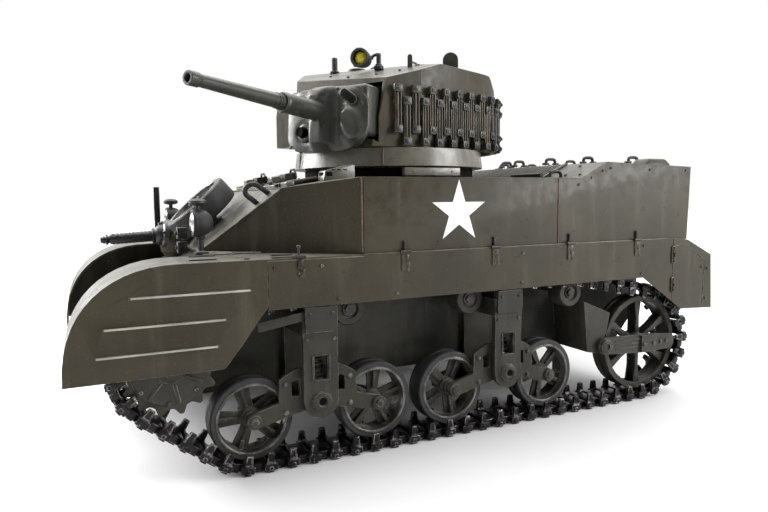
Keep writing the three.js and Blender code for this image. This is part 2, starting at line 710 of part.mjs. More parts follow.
function headlight() {
  const [x, y, z] = LAMP;
  const bowl = new THREE.SphereGeometry(13, 14, 8).rotateZ(Math.PI / 2).translate(x, y, z);
  const face = rodX(y, z, 12.6, x + 2, x + 7, 14);
  const post = rodZ(x, y, 3.4, FENDER.z0 + FENDER.rz + GAP, z - 8, 8);
  const foot = rodZ(x, y, 8, FENDER.z0 + FENDER.rz + GAP, FENDER.z0 + FENDER.rz + 3, 10);
  const stem = rodZ(x, y, 2, z + 9, z + 17, 6);
  const marker = rodX(y, z + 19, 5.5, x - 5, x + 6, 10);
  const body = cut(bowl, box([x + 6, x + 20], [y - 20, y + 20], [z - 20, z + 20]));
  return join(body, face, post, foot, stem, marker);
}

const SPARE = { x: 250, z: 262, tilt: 42.4, stem: 24.1 };

function spareWheel() {
  const wheel = roadWheel();
  const stem = rodY(0, 0, 7, -SPARE.stem, 0, 12);
  const placed = join(wheel, stem).rotateX(Math.PI / 2).rotateY(rad(SPARE.tilt));
  return placed.translate(SPARE.x, 0, SPARE.z);
}

const BOW_GUN = [288, -60, 229];

function bowGun() {
  const ball = new THREE.SphereGeometry(13.6, 14, 8).rotateZ(Math.PI / 2);
  const jacket = rodX(0, 0, 6.4, 10, 66, 12);
  const tip = rodX(0, 0, 3.6, 65, 73, 10);
  return join(ball, jacket, tip).rotateY(rad(3)).translate(...BOW_GUN);
}

// The lamp hangs on an arm to the right of its post. side is how far its axis is from the post.
const SPOT = { u: 54, v: 23, z: 444.5, side: -17, turn: 15, foot: 434.6, top: 452.5 };

function spotlight() {
  const { u, v, z, side, turn, foot, top } = SPOT;
  const bowl = rodX(side, z, 9, 4, 24, 16, 11);
  const back = rodX(side, z, 6, -3, 5, 12, 9);
  const arm = box([-2.5, 9], [-10, 1], [z + 0.5, z + 6]);
  const base = rodZ(0, 0, 6, foot, foot + 3, 12);
  const post = rodZ(0, 0, 2.9, foot + 2, top, 10);
  return join(bowl, back, arm, base, post).rotateZ(rad(turn)).translate(u, v, 0);
}

// ---------- inside ----------
function driveMotor() {
  const can = rodY(SPROCKET.x - 40, SPROCKET.z, 18, 18, 78, 18);
  const gearbox = box([SPROCKET.x - 60, SPROCKET.x + 8], [79, TUB_Y - TUB_WALL - GAP], [98, 152]);
  const shaft = rodY(SPROCKET.x - 40, SPROCKET.z, 4, 77, 80, 10);
  return join(can, gearbox, shaft);
}

function batteryTray() {
  const base = TUB_BELLY + TUB_WALL + GAP;
  const tray = box([-200, 120], [-95, 95], [base, base + 4]);
  const battery = box([-80, 60], [-30, 30], [base + 3, base + 52]);
  const controller = box([-180, -100], [-60, 60], [base + 3, base + 22]);
  const receiver = box([75, 112], [-24, 24], [base + 3, base + 18]);
  return join(tray, battery, controller, receiver);
}

// ---------- assembly ----------
piece('hull_tub', lowerHull(), olive);
piece('hull_upper', upperHull(), olive);
piece('engine_deck', engineDeck(), olive);
pair('driver_hatch', driverHatch(), olive);
pair('front_fender', frontFender(), olive);
pair('side_skirt', sideSkirt(), olive);
pair('rear_skirt', rearSkirt(), olive);
pair('track_loop', trackLoop(), steel);

wheelPair('drive_sprocket', driveSprocket(), olive, SPROCKET.x, SPROCKET.z);
wheelPair('idler_wheel', idlerWheel(), olive, IDLER.x, IDLER.z);
WHEEL.xs.forEach((x, i) => wheelPair(`road_wheel_${i + 1}`, roadWheel(), rubber, x, WHEEL.z));
ROLLER.at.forEach(([x, z], i) => wheelPair(`return_roller_${i + 1}`, returnRoller(), olive, x, z));

const leading = bogieArm();
const trailing = leading.clone().scale(-1, 1, 1);
BOGIE.xs.forEach((x, i) => {
  pair(`bogie_arm_${2 * i + 1}`, leading.clone().translate(x, 0, BOGIE.z), olive);
  pair(`bogie_arm_${2 * i + 2}`, trailing.clone().translate(x, 0, BOGIE.z), olive);
  pair(`bogie_bracket_${i ? 'rear' : 'front'}`, bogieBracket().translate(x, 0, BOGIE.z), olive);
});
pair('idler_arm', idlerArm(), olive);

piece('turret_ring', turretRing(), olive, turret);
piece('turret_shell', turretShell(), olive, turret);
piece('turret_hatch_left', turretHatch(), olive, turret);
piece('turret_hatch_right', mirrored(turretHatch()), olive, turret);
piece('spare_track_rack', spareTrackRack(), steel, turret);
piece('spotlight', spotlight(), lampGlass, turret);
piece('mantlet', mantletShield(), olive, gun);
piece('gun_barrel', gunBarrel(), olive, gun);

pair('headlight', headlight(), black);
piece('spare_wheel', spareWheel(), rubber);
piece('bow_gun', bowGun(), black);
pair('drive_motor', driveMotor(), motorMetal);
piece('battery_and_control_tray', batteryTray(), trayPlastic);

export default model;
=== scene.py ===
# Looks of the radio-controlled tank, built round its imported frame. Lengths are in millimetres until a
# piece is stored; +X is forward, +Y is the tank's left and +Z is up, as in the frame.
import json
import math
import bmesh
import bpy
from mathutils import Matrix, Vector


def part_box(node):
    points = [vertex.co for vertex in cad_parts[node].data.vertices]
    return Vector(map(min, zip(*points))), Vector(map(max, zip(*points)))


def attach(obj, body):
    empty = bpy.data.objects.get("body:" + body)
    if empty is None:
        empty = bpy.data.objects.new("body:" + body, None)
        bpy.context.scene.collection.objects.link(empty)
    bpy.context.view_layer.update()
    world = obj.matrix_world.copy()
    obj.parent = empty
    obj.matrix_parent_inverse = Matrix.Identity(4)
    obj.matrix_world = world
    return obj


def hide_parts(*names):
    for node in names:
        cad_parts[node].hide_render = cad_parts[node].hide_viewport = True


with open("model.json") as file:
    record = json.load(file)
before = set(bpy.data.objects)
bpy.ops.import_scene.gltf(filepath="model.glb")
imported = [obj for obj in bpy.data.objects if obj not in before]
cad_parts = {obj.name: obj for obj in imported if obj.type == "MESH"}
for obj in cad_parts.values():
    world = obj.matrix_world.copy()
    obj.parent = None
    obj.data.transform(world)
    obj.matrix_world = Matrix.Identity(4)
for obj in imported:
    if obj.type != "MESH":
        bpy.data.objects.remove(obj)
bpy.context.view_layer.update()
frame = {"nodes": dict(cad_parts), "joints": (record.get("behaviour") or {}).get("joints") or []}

# ---------- dimensions ----------
MM = 0.001
SIDES = (("left", 1), ("right", -1))
# The directions forward, to the tank's left and up.
AHEAD, LEFT, UP = (1, 0, 0), (0, 1, 0), (0, 0, 1)
# The track: the distance between pins, a pin's height over the ground, the extra radius that straight links
# take round a wheel, the length of a guide horn, the track's middle, and the connectors' distance from it.
LINK_PITCH = 23.3
PITCH_LINE = 5.2
CHORD = 2
HORN = 11
TRACK_Y = 154.5
CONNECTOR_Y = 21.4
SPROCKET_TEETH = 14
SPROCKET_R = LINK_PITCH / (2 * math.sin(math.pi / SPROCKET_TEETH))
# The hull's side, its skirts, roof and fender line, then the corners of its front, deck and rear.
SIDE_Y = 188
SKIRT_Y = 190.5
ROOF_Z = 294.6
JOINT_Z = 216
BROW_X, BROW_Y, BROW_Z = 189, 133, 284.5
TOE_X, TOE_Y, TOE_Z = 264, 66, 216
BEND_X = 120
DECK_X, DECK_Z = -208.7, 314.4
REAR_X = -356.8
RAMP_X = -167.7

joint_named = {joint["name"]: joint for joint in frame["joints"]}


def node_box(node):
    """The low and high corners of a CAD node."""
    low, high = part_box(node)
    return low / MM, high / MM


def node_middle(node):
    """The middle of a CAD node's box."""
    low, high = node_box(node)
    return (low + high) / 2


def hinge(joint):
    """A point on the joint's axis."""
    return Vector(joint_named[joint]["pos_m"]) / MM


elevation_axis = joint_named["gun_elevation"]["axis"]
TURRET_YAW = math.atan2(elevation_axis[0], -elevation_axis[1])
TRUNNION = hinge("gun_elevation")
GUN_ELEVATION = math.radians(3.7)
TURRET = Matrix.Rotation(TURRET_YAW, 4, "Z")
GUN = Matrix.Translation(TRUNNION) @ TURRET @ Matrix.Rotation(-GUN_ELEVATION, 4, "Y")


# ---------- mesh building ----------
def axis_turn(axis):
    """The turn that takes the local Z axis to the given one."""
    return Vector((0, 0, 1)).rotation_difference(Vector(axis)).to_matrix().to_4x4()


class Shape:
    """A mesh under construction, made of parts that are merged in."""

    def __init__(self):
        self.bm = bmesh.new()

    def merge(self, part, matrix=None):
        """Puts the part in place, joins it to the mesh and frees it."""
        if matrix is not None:
            part.transform(matrix)
        mesh = bpy.data.meshes.new("part")
        part.to_mesh(mesh)
        part.free()
        self.bm.from_mesh(mesh)
        bpy.data.meshes.remove(mesh)

    def take(self, part, matrix=None, slot=0):
        """Merges the part with all its faces in one material slot."""
        for face in part.faces:
            face.material_index = slot
        self.merge(part, matrix)

    def add(self, other, matrix=None):
        """Merges a copy of another shape."""
        self.merge(other.bm.copy(), matrix)

    def box(self, size, at=(0, 0, 0), turn=None, bevel=0.4, taper=1.0):
        """A rounded box centred on a point. taper scales its upper face."""
        part = bmesh.new()
        bmesh.ops.create_cube(part, size=1)
        for vert in part.verts:
            grow = taper if vert.co.z > 0 else 1
            vert.co = Vector((vert.co.x * size[0] * grow, vert.co.y * size[1] * grow, vert.co.z * size[2]))
        round_edges(part, bevel)
        self.take(part, Matrix.Translation(at) @ turn if turn else Matrix.Translation(at))

    def lathe(self, profile, at=(0, 0, 0), axis=UP, sides=32, slot=0):
        """Turns [radius, height] points about the axis. Ends off the axis join up into a ring."""
        part = bmesh.new()
        closed = profile[0][0] > 0 and profile[-1][0] > 0
        rings = []
        for radius, height in profile:
            if radius <= 1e-6:
                rings.append([part.verts.new((0, 0, height))])
                continue
            ring = []
            for i in range(sides):
                angle = 2 * math.pi * i / sides
                ring.append(part.verts.new((radius * math.cos(angle), radius * math.sin(angle), height)))
            rings.append(ring)
        pairs = list(zip(rings, rings[1:]))
        if closed:
            pairs.append((rings[-1], rings[0]))
        for low, high in pairs:
            for i in range(sides):
                j = (i + 1) % sides
                if len(low) == 1 and len(high) == 1:
                    continue
                if len(low) == 1:
                    part.faces.new((low[0], high[j], high[i]))
                elif len(high) == 1:
                    part.faces.new((low[i], low[j], high[0]))
                else:
                    part.faces.new((low[i], low[j], high[j], high[i]))
        bmesh.ops.recalc_face_normals(part, faces=part.faces)
        self.take(part, Matrix.Translation(at) @ axis_turn(axis), slot)

    def rod(self, radius, length, at=(0, 0, 0), axis=UP, sides=20, edge=0.4, slot=0):
        """A round bar centred on a point, chamfered at both ends."""
        edge = min(edge, radius * 0.4, length * 0.3)
        half = length / 2
        self.lathe([
            (0, -half), (radius - edge, -half), (radius, -half + edge),
            (radius, half - edge), (radius - edge, half), (0, half),
        ], at, axis, sides, slot)

    def plate(self, outline, thick, matrix, bevel=0.3):
        """A flat outline in the local XY plane, as thick as said, upwards from it."""
        part = bmesh.new()
        low = [part.verts.new((x, y, 0)) for x, y in outline]
        face = part.faces.new(low)
        made = bmesh.ops.extrude_face_region(part, geom=[face])
        top = [item for item in made["geom"] if isinstance(item, bmesh.types.BMVert)]
        bmesh.ops.translate(part, vec=(0, 0, thick), verts=top)
        bmesh.ops.recalc_face_normals(part, faces=part.faces)
        round_edges(part, bevel)
        self.take(part, matrix)

    def ball(self, radius, rings):
        """A ball at the origin."""
        part = bmesh.new()
        bmesh.ops.create_uvsphere(part, u_segments=rings * 2, v_segments=rings, radius=radius)
        self.take(part)

    def tube(self, points, radius, sides=10):
        """A round bar along a smooth run of points, closed at both ends."""
        part = bmesh.new()
        points = [Vector(point) for point in points]
        rings = []
        normal = None
        for i, point in enumerate(points):
            before = points[max(i - 1, 0)]
            after = points[min(i + 1, len(points) - 1)]
            along = (after - before).normalized()
            if normal is None:
                normal = along.orthogonal().normalized()
            normal = (normal - along * normal.dot(along)).normalized()
            across = along.cross(normal)
            ring = []
            for k in range(sides):
                angle = 2 * math.pi * k / sides
                spot = point + normal * math.cos(angle) * radius + across * math.sin(angle) * radius
                ring.append(part.verts.new(spot))
            rings.append(ring)
        for low, high in zip(rings, rings[1:]):
            for k in range(sides):
                part.faces.new((low[k], low[(k + 1) % sides], high[(k + 1) % sides], high[k]))
        part.faces.new(rings[0][::-1])
        part.faces.new(rings[-1])
        bmesh.ops.recalc_face_normals(part, faces=part.faces)
        self.take(part)

    def hexagon(self, radius, height, at, axis):
        """A bolt head: six sides with a low round top."""
        self.rod(radius, height, at, axis, sides=6, edge=0.25)
        self.rod(radius * 0.62, height * 1.15, at, axis, sides=12, edge=0.2)


def round_edges(part, width):
    """Rounds the edges that turn by more than 25 degrees."""
    if width <= 0:
        return
    least = math.radians(25)
    sharp = [edge for edge in part.edges if edge.is_manifold and edge.calc_face_angle(0) > least]
    bmesh.ops.bevel(part, geom=sharp, offset=width, segments=2, profile=0.5, affect="EDGES",
                    clamp_overlap=True)


def store(name, shape, body, *materials, matrix=None, instead=(), slot=None, sharp=32):
    """Makes the shape a piece that rides on a body, and may stand for CAD nodes."""
    bm = shape.bm
    if matrix is not None:
        bm.transform(matrix)
        if matrix.determinant() < 0:
            bmesh.ops.reverse_faces(bm, faces=bm.faces)
    bm.transform(Matrix.Scale(MM, 4))
    mesh = bpy.data.meshes.new(name)
    bm.to_mesh(mesh)
    bm.free()
    mesh.shade_smooth()
    mesh.set_sharp_from_angle(angle=math.radians(sharp))
    for material in materials:
        mesh.materials.append(material)
    piece = bpy.data.objects.new(name, mesh)
    bpy.context.scene.collection.objects.link(piece)
    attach(piece, body)
    if instead:
        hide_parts(*instead)
    slot = slot or USUAL_SLOT[materials[0].name]
    return piece


def refined(node, body, material, bevel):
    """A CAD node's own shape with its flat facets merged and its edges rounded."""
    bm = bmesh.new()
    bm.from_mesh(frame["nodes"][node].data)
    bm.transform(Matrix.Scale(1 / MM, 4))
    bmesh.ops.remove_doubles(bm, verts=bm.verts, dist=0.01)
    bmesh.ops.dissolve_limit(bm, angle_limit=math.radians(0.6), verts=bm.verts, edges=bm.edges)
    shape = Shape()
    shape.bm.free()
    shape.bm = bm
    piece = store(f"{node}_skin", shape, body, material, instead=[node])
    rounding = piece.modifiers.new("rounding", "BEVEL")
    rounding.width = bevel * MM
    rounding.segments = 2
    rounding.limit_method = "ANGLE"
    rounding.angle_limit = math.radians(30)
    return piece


# ---------- materials ----------
def join_nodes(tree, kind, inputs=(), **settings):
    """Adds a node. inputs maps a socket's name or number to a value or another node's socket."""
    made = tree.nodes.new(kind)
    for key, value in settings.items():
        setattr(made, key, value)
    for key, value in dict(inputs).items():
        socket = made.inputs[key]
        if isinstance(value, bpy.types.NodeSocket):
            tree.links.new(value, socket)
        else:
            socket.default_value = value
    return made


def noise(tree, where, scale, detail=4, rough=0.55):
    made = join_nodes(tree, "ShaderNodeTexNoise", {
        "Vector": where, "Scale": scale, "Detail": detail, "Roughness": rough,
    })
    return made.outputs["Fac"]


def spread(tree, value, low, high, to_low=0.0, to_high=1.0):
    made = join_nodes(tree, "ShaderNodeMapRange", {
        "Value": value, "From Min": low, "From Max": high, "To Min": to_low, "To Max": to_high,
    }, interpolation_type="SMOOTHSTEP")
    return made.outputs["Result"]


def mixed(tree, amount, first, second):
    made = join_nodes(tree, "ShaderNodeMix", data_type="RGBA")
    for number, value in ((0, amount), (6, first), (7, second)):
        socket = made.inputs[number]
        if isinstance(value, bpy.types.NodeSocket):
            tree.links.new(value, socket)
        elif number == 0:
            socket.default_value = value
        else:
            socket.default_value = (*value, 1)
    return made.outputs[2]


def maths(tree, operation, first, second):
    made = join_nodes(tree, "ShaderNodeMath", {0: first, 1: second}, operation=operation, use_clamp=True)
    return made.outputs[0]


def edge_mask(tree, where):
    """White on worn corners: where the rounded normal leaves the true one, broken up by noise."""
    rounded = join_nodes(tree, "ShaderNodeBevel", {"Radius": 0.0011}, samples=4)
    true = join_nodes(tree, "ShaderNodeNewGeometry")
    dot = join_nodes(tree, "ShaderNodeVectorMath", {
        0: rounded.outputs["Normal"], 1: true.outputs["Normal"],
    }, operation="DOT_PRODUCT")
    bend = maths(tree, "SUBTRACT", 1.0, dot.outputs["Value"])
    mask = spread(tree, bend, 0.02, 0.16)
    broken = spread(tree, noise(tree, where, 95, 5), 0.42, 0.62)
    return maths(tree, "MULTIPLY", mask, broken)


# Pale grey for faces that look up: dust, and painted top light.
DUST_AND_TOP_LIGHT = (0.27, 0.265, 0.245)


def surface(name, base, light, dark, rough=0.5, metallic=0.0, worn=None, wear=0.8, dust_and_top_light=0.0,
            grain=900, bump=0.12, mottle=14, coat=0.0, shine=0.5):
    """A painted, cast or moulded surface: mottled colour, streaks, fine grain, rubbed corners, and up-facing
    faces lightened, partly by dust and partly by painted top light.
    """
    material = bpy.data.materials.new(name)
    material.use_nodes = True
    tree = material.node_tree
    shader = tree.nodes["Principled BSDF"]
    where = join_nodes(tree, "ShaderNodeTexCoord").outputs["Object"]
    patches = spread(tree, noise(tree, where, mottle, 5), 0.35, 0.68)
    color = mixed(tree, patches, dark, base)
    long = join_nodes(tree, "ShaderNodeMapping", {"Vector": where, "Scale": (1, 1, 0.12)})
    streaks = spread(tree, noise(tree, long.outputs["Vector"], 60, 4), 0.5, 0.8, 0, 0.45)
    color = mixed(tree, streaks, color, light)
    specks = spread(tree, noise(tree, where, 420, 3), 0.56, 0.74, 0, 0.35)
    color = mixed(tree, specks, color, light)
    # Faces that look up are mixed towards pale grey: partly dust, partly painted light for the brighter light
    # that falls on tops.
    if dust_and_top_light:
        facing = join_nodes(tree, "ShaderNodeNewGeometry").outputs["Normal"]
        up = join_nodes(tree, "ShaderNodeSeparateXYZ", {0: facing}).outputs["Z"]
        top_light_and_dust = spread(tree, up, 0.25, 1.0, 0, dust_and_top_light)
        cloud = spread(tree, noise(tree, where, 26, 6), 0.3, 0.75, 0.45, 1)
        color = mixed(tree, maths(tree, "MULTIPLY", top_light_and_dust, cloud), color, DUST_AND_TOP_LIGHT)
    uneven = spread(tree, noise(tree, where, 75, 5), 0.3, 0.7, max(rough - 0.09, 0.05), rough + 0.1)
    if worn:
        edges = maths(tree, "MULTIPLY", edge_mask(tree, where), wear)
        color = mixed(tree, edges, color, worn)
    tree.links.new(color, shader.inputs["Base Color"])
    tree.links.new(uneven, shader.inputs["Roughness"])
    shader.inputs["Metallic"].default_value = metallic
    shader.inputs["Coat Weight"].default_value = coat
    shader.inputs["Specular IOR Level"].default_value = shine
    fine = noise(tree, where, grain, 3, 0.7)
    raised = join_nodes(tree, "ShaderNodeBump", {"Strength": bump, "Distance": 0.0004, "Height": fine})
    tree.links.new(raised.outputs["Normal"], shader.inputs["Normal"])
    return material


OLIVE = surface("olive_paint", (0.040, 0.034, 0.021), (0.085, 0.077, 0.054), (0.029, 0.025, 0.016),
                rough=0.36, shine=0.2, worn=(0.22, 0.21, 0.18), wear=0.75, dust_and_top_light=0.5, grain=1500, bump=0.16)
OLIVE_DARK = surface("olive_running_gear", (0.034, 0.033, 0.026), (0.078, 0.075, 0.062),
                     (0.021, 0.021, 0.017), rough=0.42, shine=0.18, worn=(0.27, 0.26, 0.23), wear=0.9,
                     dust_and_top_light=0.2, grain=700, bump=0.22, mottle=22)
CAST = surface("cast_olive", (0.033, 0.034, 0.028), (0.07, 0.07, 0.062), (0.021, 0.022, 0.018),
               rough=0.34, shine=0.35, worn=(0.2, 0.19, 0.16), wear=0.6, dust_and_top_light=0.25, grain=480, bump=0.35,
               mottle=18)
STEEL = surface("track_steel", (0.017, 0.016, 0.016), (0.04, 0.037, 0.035), (0.008, 0.008, 0.008),
                rough=0.34, metallic=0.75, worn=(0.55, 0.53, 0.5), wear=1.0, grain=700, bump=0.3, mottle=40)
RUSTY = surface("rusty_link_steel", (0.05, 0.04, 0.022), (0.26, 0.16, 0.045), (0.022, 0.019, 0.013),
                rough=0.46, metallic=0.35, worn=(0.2, 0.19, 0.16), wear=0.8, grain=600, bump=0.35, mottle=30)
RUBBER = surface("tyre_rubber", (0.012, 0.012, 0.012), (0.035, 0.034, 0.033), (0.007, 0.007, 0.007),
                 rough=0.62, worn=(0.05, 0.05, 0.048), wear=0.5, dust_and_top_light=0.1, grain=1200, bump=0.25)
RIM = surface("rim_rubbed_steel", (0.1, 0.098, 0.09), (0.36, 0.35, 0.33), (0.035, 0.033, 0.028),
              rough=0.34, metallic=0.5, worn=(0.5, 0.49, 0.46), wear=1.0, grain=900, bump=0.2, mottle=70)
BLACK = surface("black_metal", (0.016, 0.016, 0.017), (0.05, 0.05, 0.05), (0.01, 0.01, 0.01),
                rough=0.4, metallic=0.3, worn=(0.25, 0.25, 0.24), wear=0.7, dust_and_top_light=0.15, grain=900, bump=0.15)
WELD = surface("weld_bead", (0.085, 0.04, 0.028), (0.17, 0.1, 0.07), (0.05, 0.034, 0.026),
               rough=0.55, metallic=0.2, worn=(0.3, 0.2, 0.15), wear=0.6, grain=1300, bump=0.4, mottle=120)
WHITE = surface("white_marking", (0.8, 0.8, 0.78), (0.86, 0.86, 0.85), (0.7, 0.7, 0.67),
                rough=0.5, worn=(0.4, 0.39, 0.35), wear=0.5, grain=1400, bump=0.12)
BRASS = surface("rubbed_bronze", (0.026, 0.019, 0.014), (0.075, 0.05, 0.032), (0.014, 0.011, 0.009),
                rough=0.42, metallic=0.4, worn=(0.2, 0.15, 0.1), wear=1.0, grain=900, bump=0.2, mottle=90)
# Olive paint lightened for painted sheen: the brightness of parts that catch the light, such as the turret
# ring reflecting the bright floor.
PALE_OLIVE_SHEEN = surface("pale_olive_painted_sheen", (0.13, 0.125, 0.1), (0.24, 0.23, 0.19), (0.08, 0.077, 0.06),
                     rough=0.3, worn=(0.4, 0.39, 0.35), wear=0.6, dust_and_top_light=0.3, grain=1300, bump=0.14)
# Tan for the painted highlight along the skirt joint.
TAN_HIGHLIGHT = surface("tan_joint_highlight", (0.14, 0.115, 0.085), (0.26, 0.2, 0.14), (0.06, 0.052, 0.04),
              rough=0.5, grain=900, bump=0.15, mottle=60)
# Flat black for painted shade: put in ports, slits, sockets and gaps where the openings are dark inside.
SHADE_BLACK = surface("painted_shade_black", (0.003, 0.003, 0.003), (0.006, 0.006, 0.006), (0.002, 0.002, 0.002), rough=0.8,
               shine=0.08, grain=900, bump=0.1)
# Pale tone for the fender ribs: painted highlight, with rubbed paint.
RIB_HIGHLIGHT = surface("rib_highlight_and_wear", (0.36, 0.35, 0.31), (0.5, 0.49, 0.45), (0.24, 0.235, 0.21), rough=0.4, grain=900,
              bump=0.12, mottle=30)
DARK_OLIVE = surface("dark_olive_metal", (0.026, 0.028, 0.022), (0.05, 0.053, 0.044), (0.018, 0.019, 0.015),
                     rough=0.36, shine=0.3, worn=(0.12, 0.12, 0.11), wear=0.4, dust_and_top_light=0.12, grain=1100,
                     bump=0.1)
PLASTIC = surface("tray_plastic", (0.02, 0.024, 0.03), (0.05, 0.055, 0.06), (0.012, 0.014, 0.018),
                  rough=0.5, grain=1500, bump=0.12)
MOTOR = surface("motor_can", (0.5, 0.5, 0.51), (0.65, 0.65, 0.66), (0.3, 0.3, 0.31),
                rough=0.3, metallic=0.9, worn=(0.8, 0.8, 0.8), wear=0.5, grain=1200, bump=0.1)
YELLOW = surface("yellow_lens", (0.72, 0.6, 0.02), (0.9, 0.8, 0.08), (0.5, 0.4, 0.01),
                 rough=0.16, grain=260, bump=0.25, coat=0.6)
GLASS = surface("lamp_glass", (0.42, 0.44, 0.43), (0.7, 0.72, 0.7), (0.2, 0.21, 0.2),
                rough=0.14, metallic=0.4, grain=240, bump=0.35, coat=0.7)
RED = surface("red_lens", (0.3, 0.01, 0.008), (0.5, 0.04, 0.03), (0.16, 0.006, 0.005),
              rough=0.2, grain=260, bump=0.25, coat=0.6)

# The library's slot for each material, unless a piece names another.
USUAL_SLOT = {material.name: slot for slot, group in {
    "olive_paint": (OLIVE, OLIVE_DARK, PALE_OLIVE_SHEEN, DARK_OLIVE, CAST),
    "track_steel": (STEEL, RUSTY),
    "black_metal": (BLACK, SHADE_BLACK),
    "bare_metal": (WELD, BRASS, TAN_HIGHLIGHT, RIB_HIGHLIGHT),
    "wheel_rubber": (RUBBER,),
    "white_marking": (WHITE,),
    "motor_can": (MOTOR,),
    "tray_plastic": (PLASTIC,),
    "yellow_lens": (YELLOW,),
    "lamp_glass": (GLASS, RED),
}.items() for material in group}


# ---------- camera, light and floor ----------
CAMERA_AT = (0.3835, 0.7857, 0.2730)
CAMERA_YAW = math.radians(-115.53)
CAMERA_DOWN = math.radians(5.216)
CAMERA_ROLL = math.radians(-0.594)
CAMERA_LENS = 29.9296875


def place_camera():
    scene = bpy.context.scene
    data = bpy.data.cameras.new("camera")
    data.sensor_width = 36
    data.lens = CAMERA_LENS
    data.clip_start = 0.02
    camera = bpy.data.objects.new("camera", data)
    ahead = Vector((
        math.cos(CAMERA_DOWN) * math.cos(CAMERA_YAW),
        math.cos(CAMERA_DOWN) * math.sin(CAMERA_YAW),
        -math.sin(CAMERA_DOWN),
    ))
    right = ahead.cross(Vector((0, 0, 1))).normalized()
    up = right.cross(ahead)
    turned_right = right * math.cos(CAMERA_ROLL) + up * math.sin(CAMERA_ROLL)
    turned_up = up * math.cos(CAMERA_ROLL) - right * math.sin(CAMERA_ROLL)
    turn = Matrix((turned_right, turned_up, -ahead)).transposed().to_4x4()
    camera.matrix_world = Matrix.Translation(CAMERA_AT) @ turn
    scene.collection.objects.link(camera)
    scene.camera = camera


def area_light(name, at, target, size, power):
    data = bpy.data.lights.new(name, "AREA")
    data.shape = "RECTANGLE"
    data.size, data.size_y = size
    data.energy = power
    light = bpy.data.objects.new(name, data)
    light.location = at
    light.rotation_euler = (Vector(target) - Vector(at)).to_track_quat("-Z", "Y").to_euler()
    bpy.context.scene.collection.objects.link(light)


def place_lights():
    """A pale room, dim on the viewer's side and near the floor, and bright overhead and beyond.

    The glow is a share for the side times a share for the height, and the product stops at one. The camera
    sees the backdrop itself as plain white."""
    scene = bpy.context.scene
    scene.view_settings.view_transform = "Standard"
    world = bpy.data.worlds.new("studio")
    world.use_nodes = True
    tree = world.node_tree
    toward = join_nodes(tree, "ShaderNodeTexCoord").outputs["Generated"]
    dim_side = (0.24, 0.97, 0.0)
    facing = join_nodes(tree, "ShaderNodeVectorMath", {0: toward, 1: dim_side}, operation="DOT_PRODUCT")
    glow = spread(tree, facing.outputs["Value"], 0.2, 0.75, 3.2, 0.02)
    height = join_nodes(tree, "ShaderNodeSeparateXYZ", {0: toward}).outputs["Z"]
    glow = maths(tree, "MULTIPLY", glow, spread(tree, height, 0.0, 0.42, 0.1, 1.7))
    seen = join_nodes(tree, "ShaderNodeLightPath").outputs["Is Camera Ray"]
    strength = join_nodes(tree, "ShaderNodeMix", {0: seen, 2: glow, 3: 1.0}, data_type="FLOAT")
    tree.links.new(strength.outputs[0], tree.nodes["Background"].inputs["Strength"])
    tree.nodes["Background"].inputs["Color"].default_value = (1, 1, 1, 1)
    scene.world = world
    area_light("overhead", (-0.1, -0.3, 1.6), (0, 0, 0.2), (1.9, 1.5), 33)
    area_light("front_far", (1.3, -1.1, 1.0), (0.2, 0, 0.25), (1.1, 1.1), 62)
    area_light("rear_side", (-1.2, 1.2, 0.7), (-0.3, 0.1, 0.2), (0.9, 0.8), 27)


def place_floor():
    bm = bmesh.new()
    bmesh.ops.create_grid(bm, x_segments=2, y_segments=2, size=9)
    mesh = bpy.data.meshes.new("floor")
    bm.to_mesh(mesh)
    bm.free()
    floor = bpy.data.objects.new("floor", mesh)
    floor.location.z = -0.0006
    bpy.context.scene.collection.objects.link(floor)
    material = bpy.data.materials.new("floor")
    material.use_nodes = True
    tree = material.node_tree
    where = join_nodes(tree, "ShaderNodeTexCoord").outputs["Object"]
    tone = mixed(tree, spread(tree, noise(tree, where, 3), 0.3, 0.7), (0.7, 0.7, 0.7), (0.74, 0.74, 0.74))
    shader = tree.nodes["Principled BSDF"]
    tree.links.new(tone, shader.inputs["Base Color"])
    shader.inputs["Roughness"].default_value = 0.6
    # Painted light: the floor glows, not at all near the tank and more with distance from it, so it reads
    # white away from the tank.
    distance = join_nodes(tree, "ShaderNodeVectorMath", {0: where}, operation="LENGTH").outputs["Value"]
    tree.links.new(spread(tree, distance, 0.6, 2.4, 0.0, 0.7), shader.inputs["Emission Strength"])
    shader.inputs["Emission Color"].default_value = (1, 1, 1, 1)
    mesh.materials.append(material)


# ---------- small fittings ----------
def bolt(shape, at, axis, radius):
    """A bolt head in the usual proportion."""
    shape.hexagon(radius, radius * 0.9, at, axis)


def arc_points(center, radius, start, end, steps):
    """Points on an arc from one angle to another, in degrees."""
    points = []
    for i in range(steps + 1):
        angle = math.radians(start + (end - start) * i / steps)
        points.append((center[0] + radius * math.cos(angle), center[1] + radius * math.sin(angle)))
    return points


def mirror(side):
    """For a side of -1, swaps the tank's left and right."""
    return Matrix.Diagonal((1, side, 1, 1))


# Local X and Y become the tank's X and Z, so outlines seen from the side can be written as they look.
UPRIGHT = Matrix(((1, 0, 0, 0), (0, 0, -1, 0), (0, 1, 0, 0), (0, 0, 0, 1)))


def side_plate(shape, outline, y0, y1, bevel):
    """An outline seen from the side, between two places across the tank."""
    shape.plate(outline, y1 - y0, Matrix.Translation((0, y1, 0)) @ UPRIGHT, bevel)


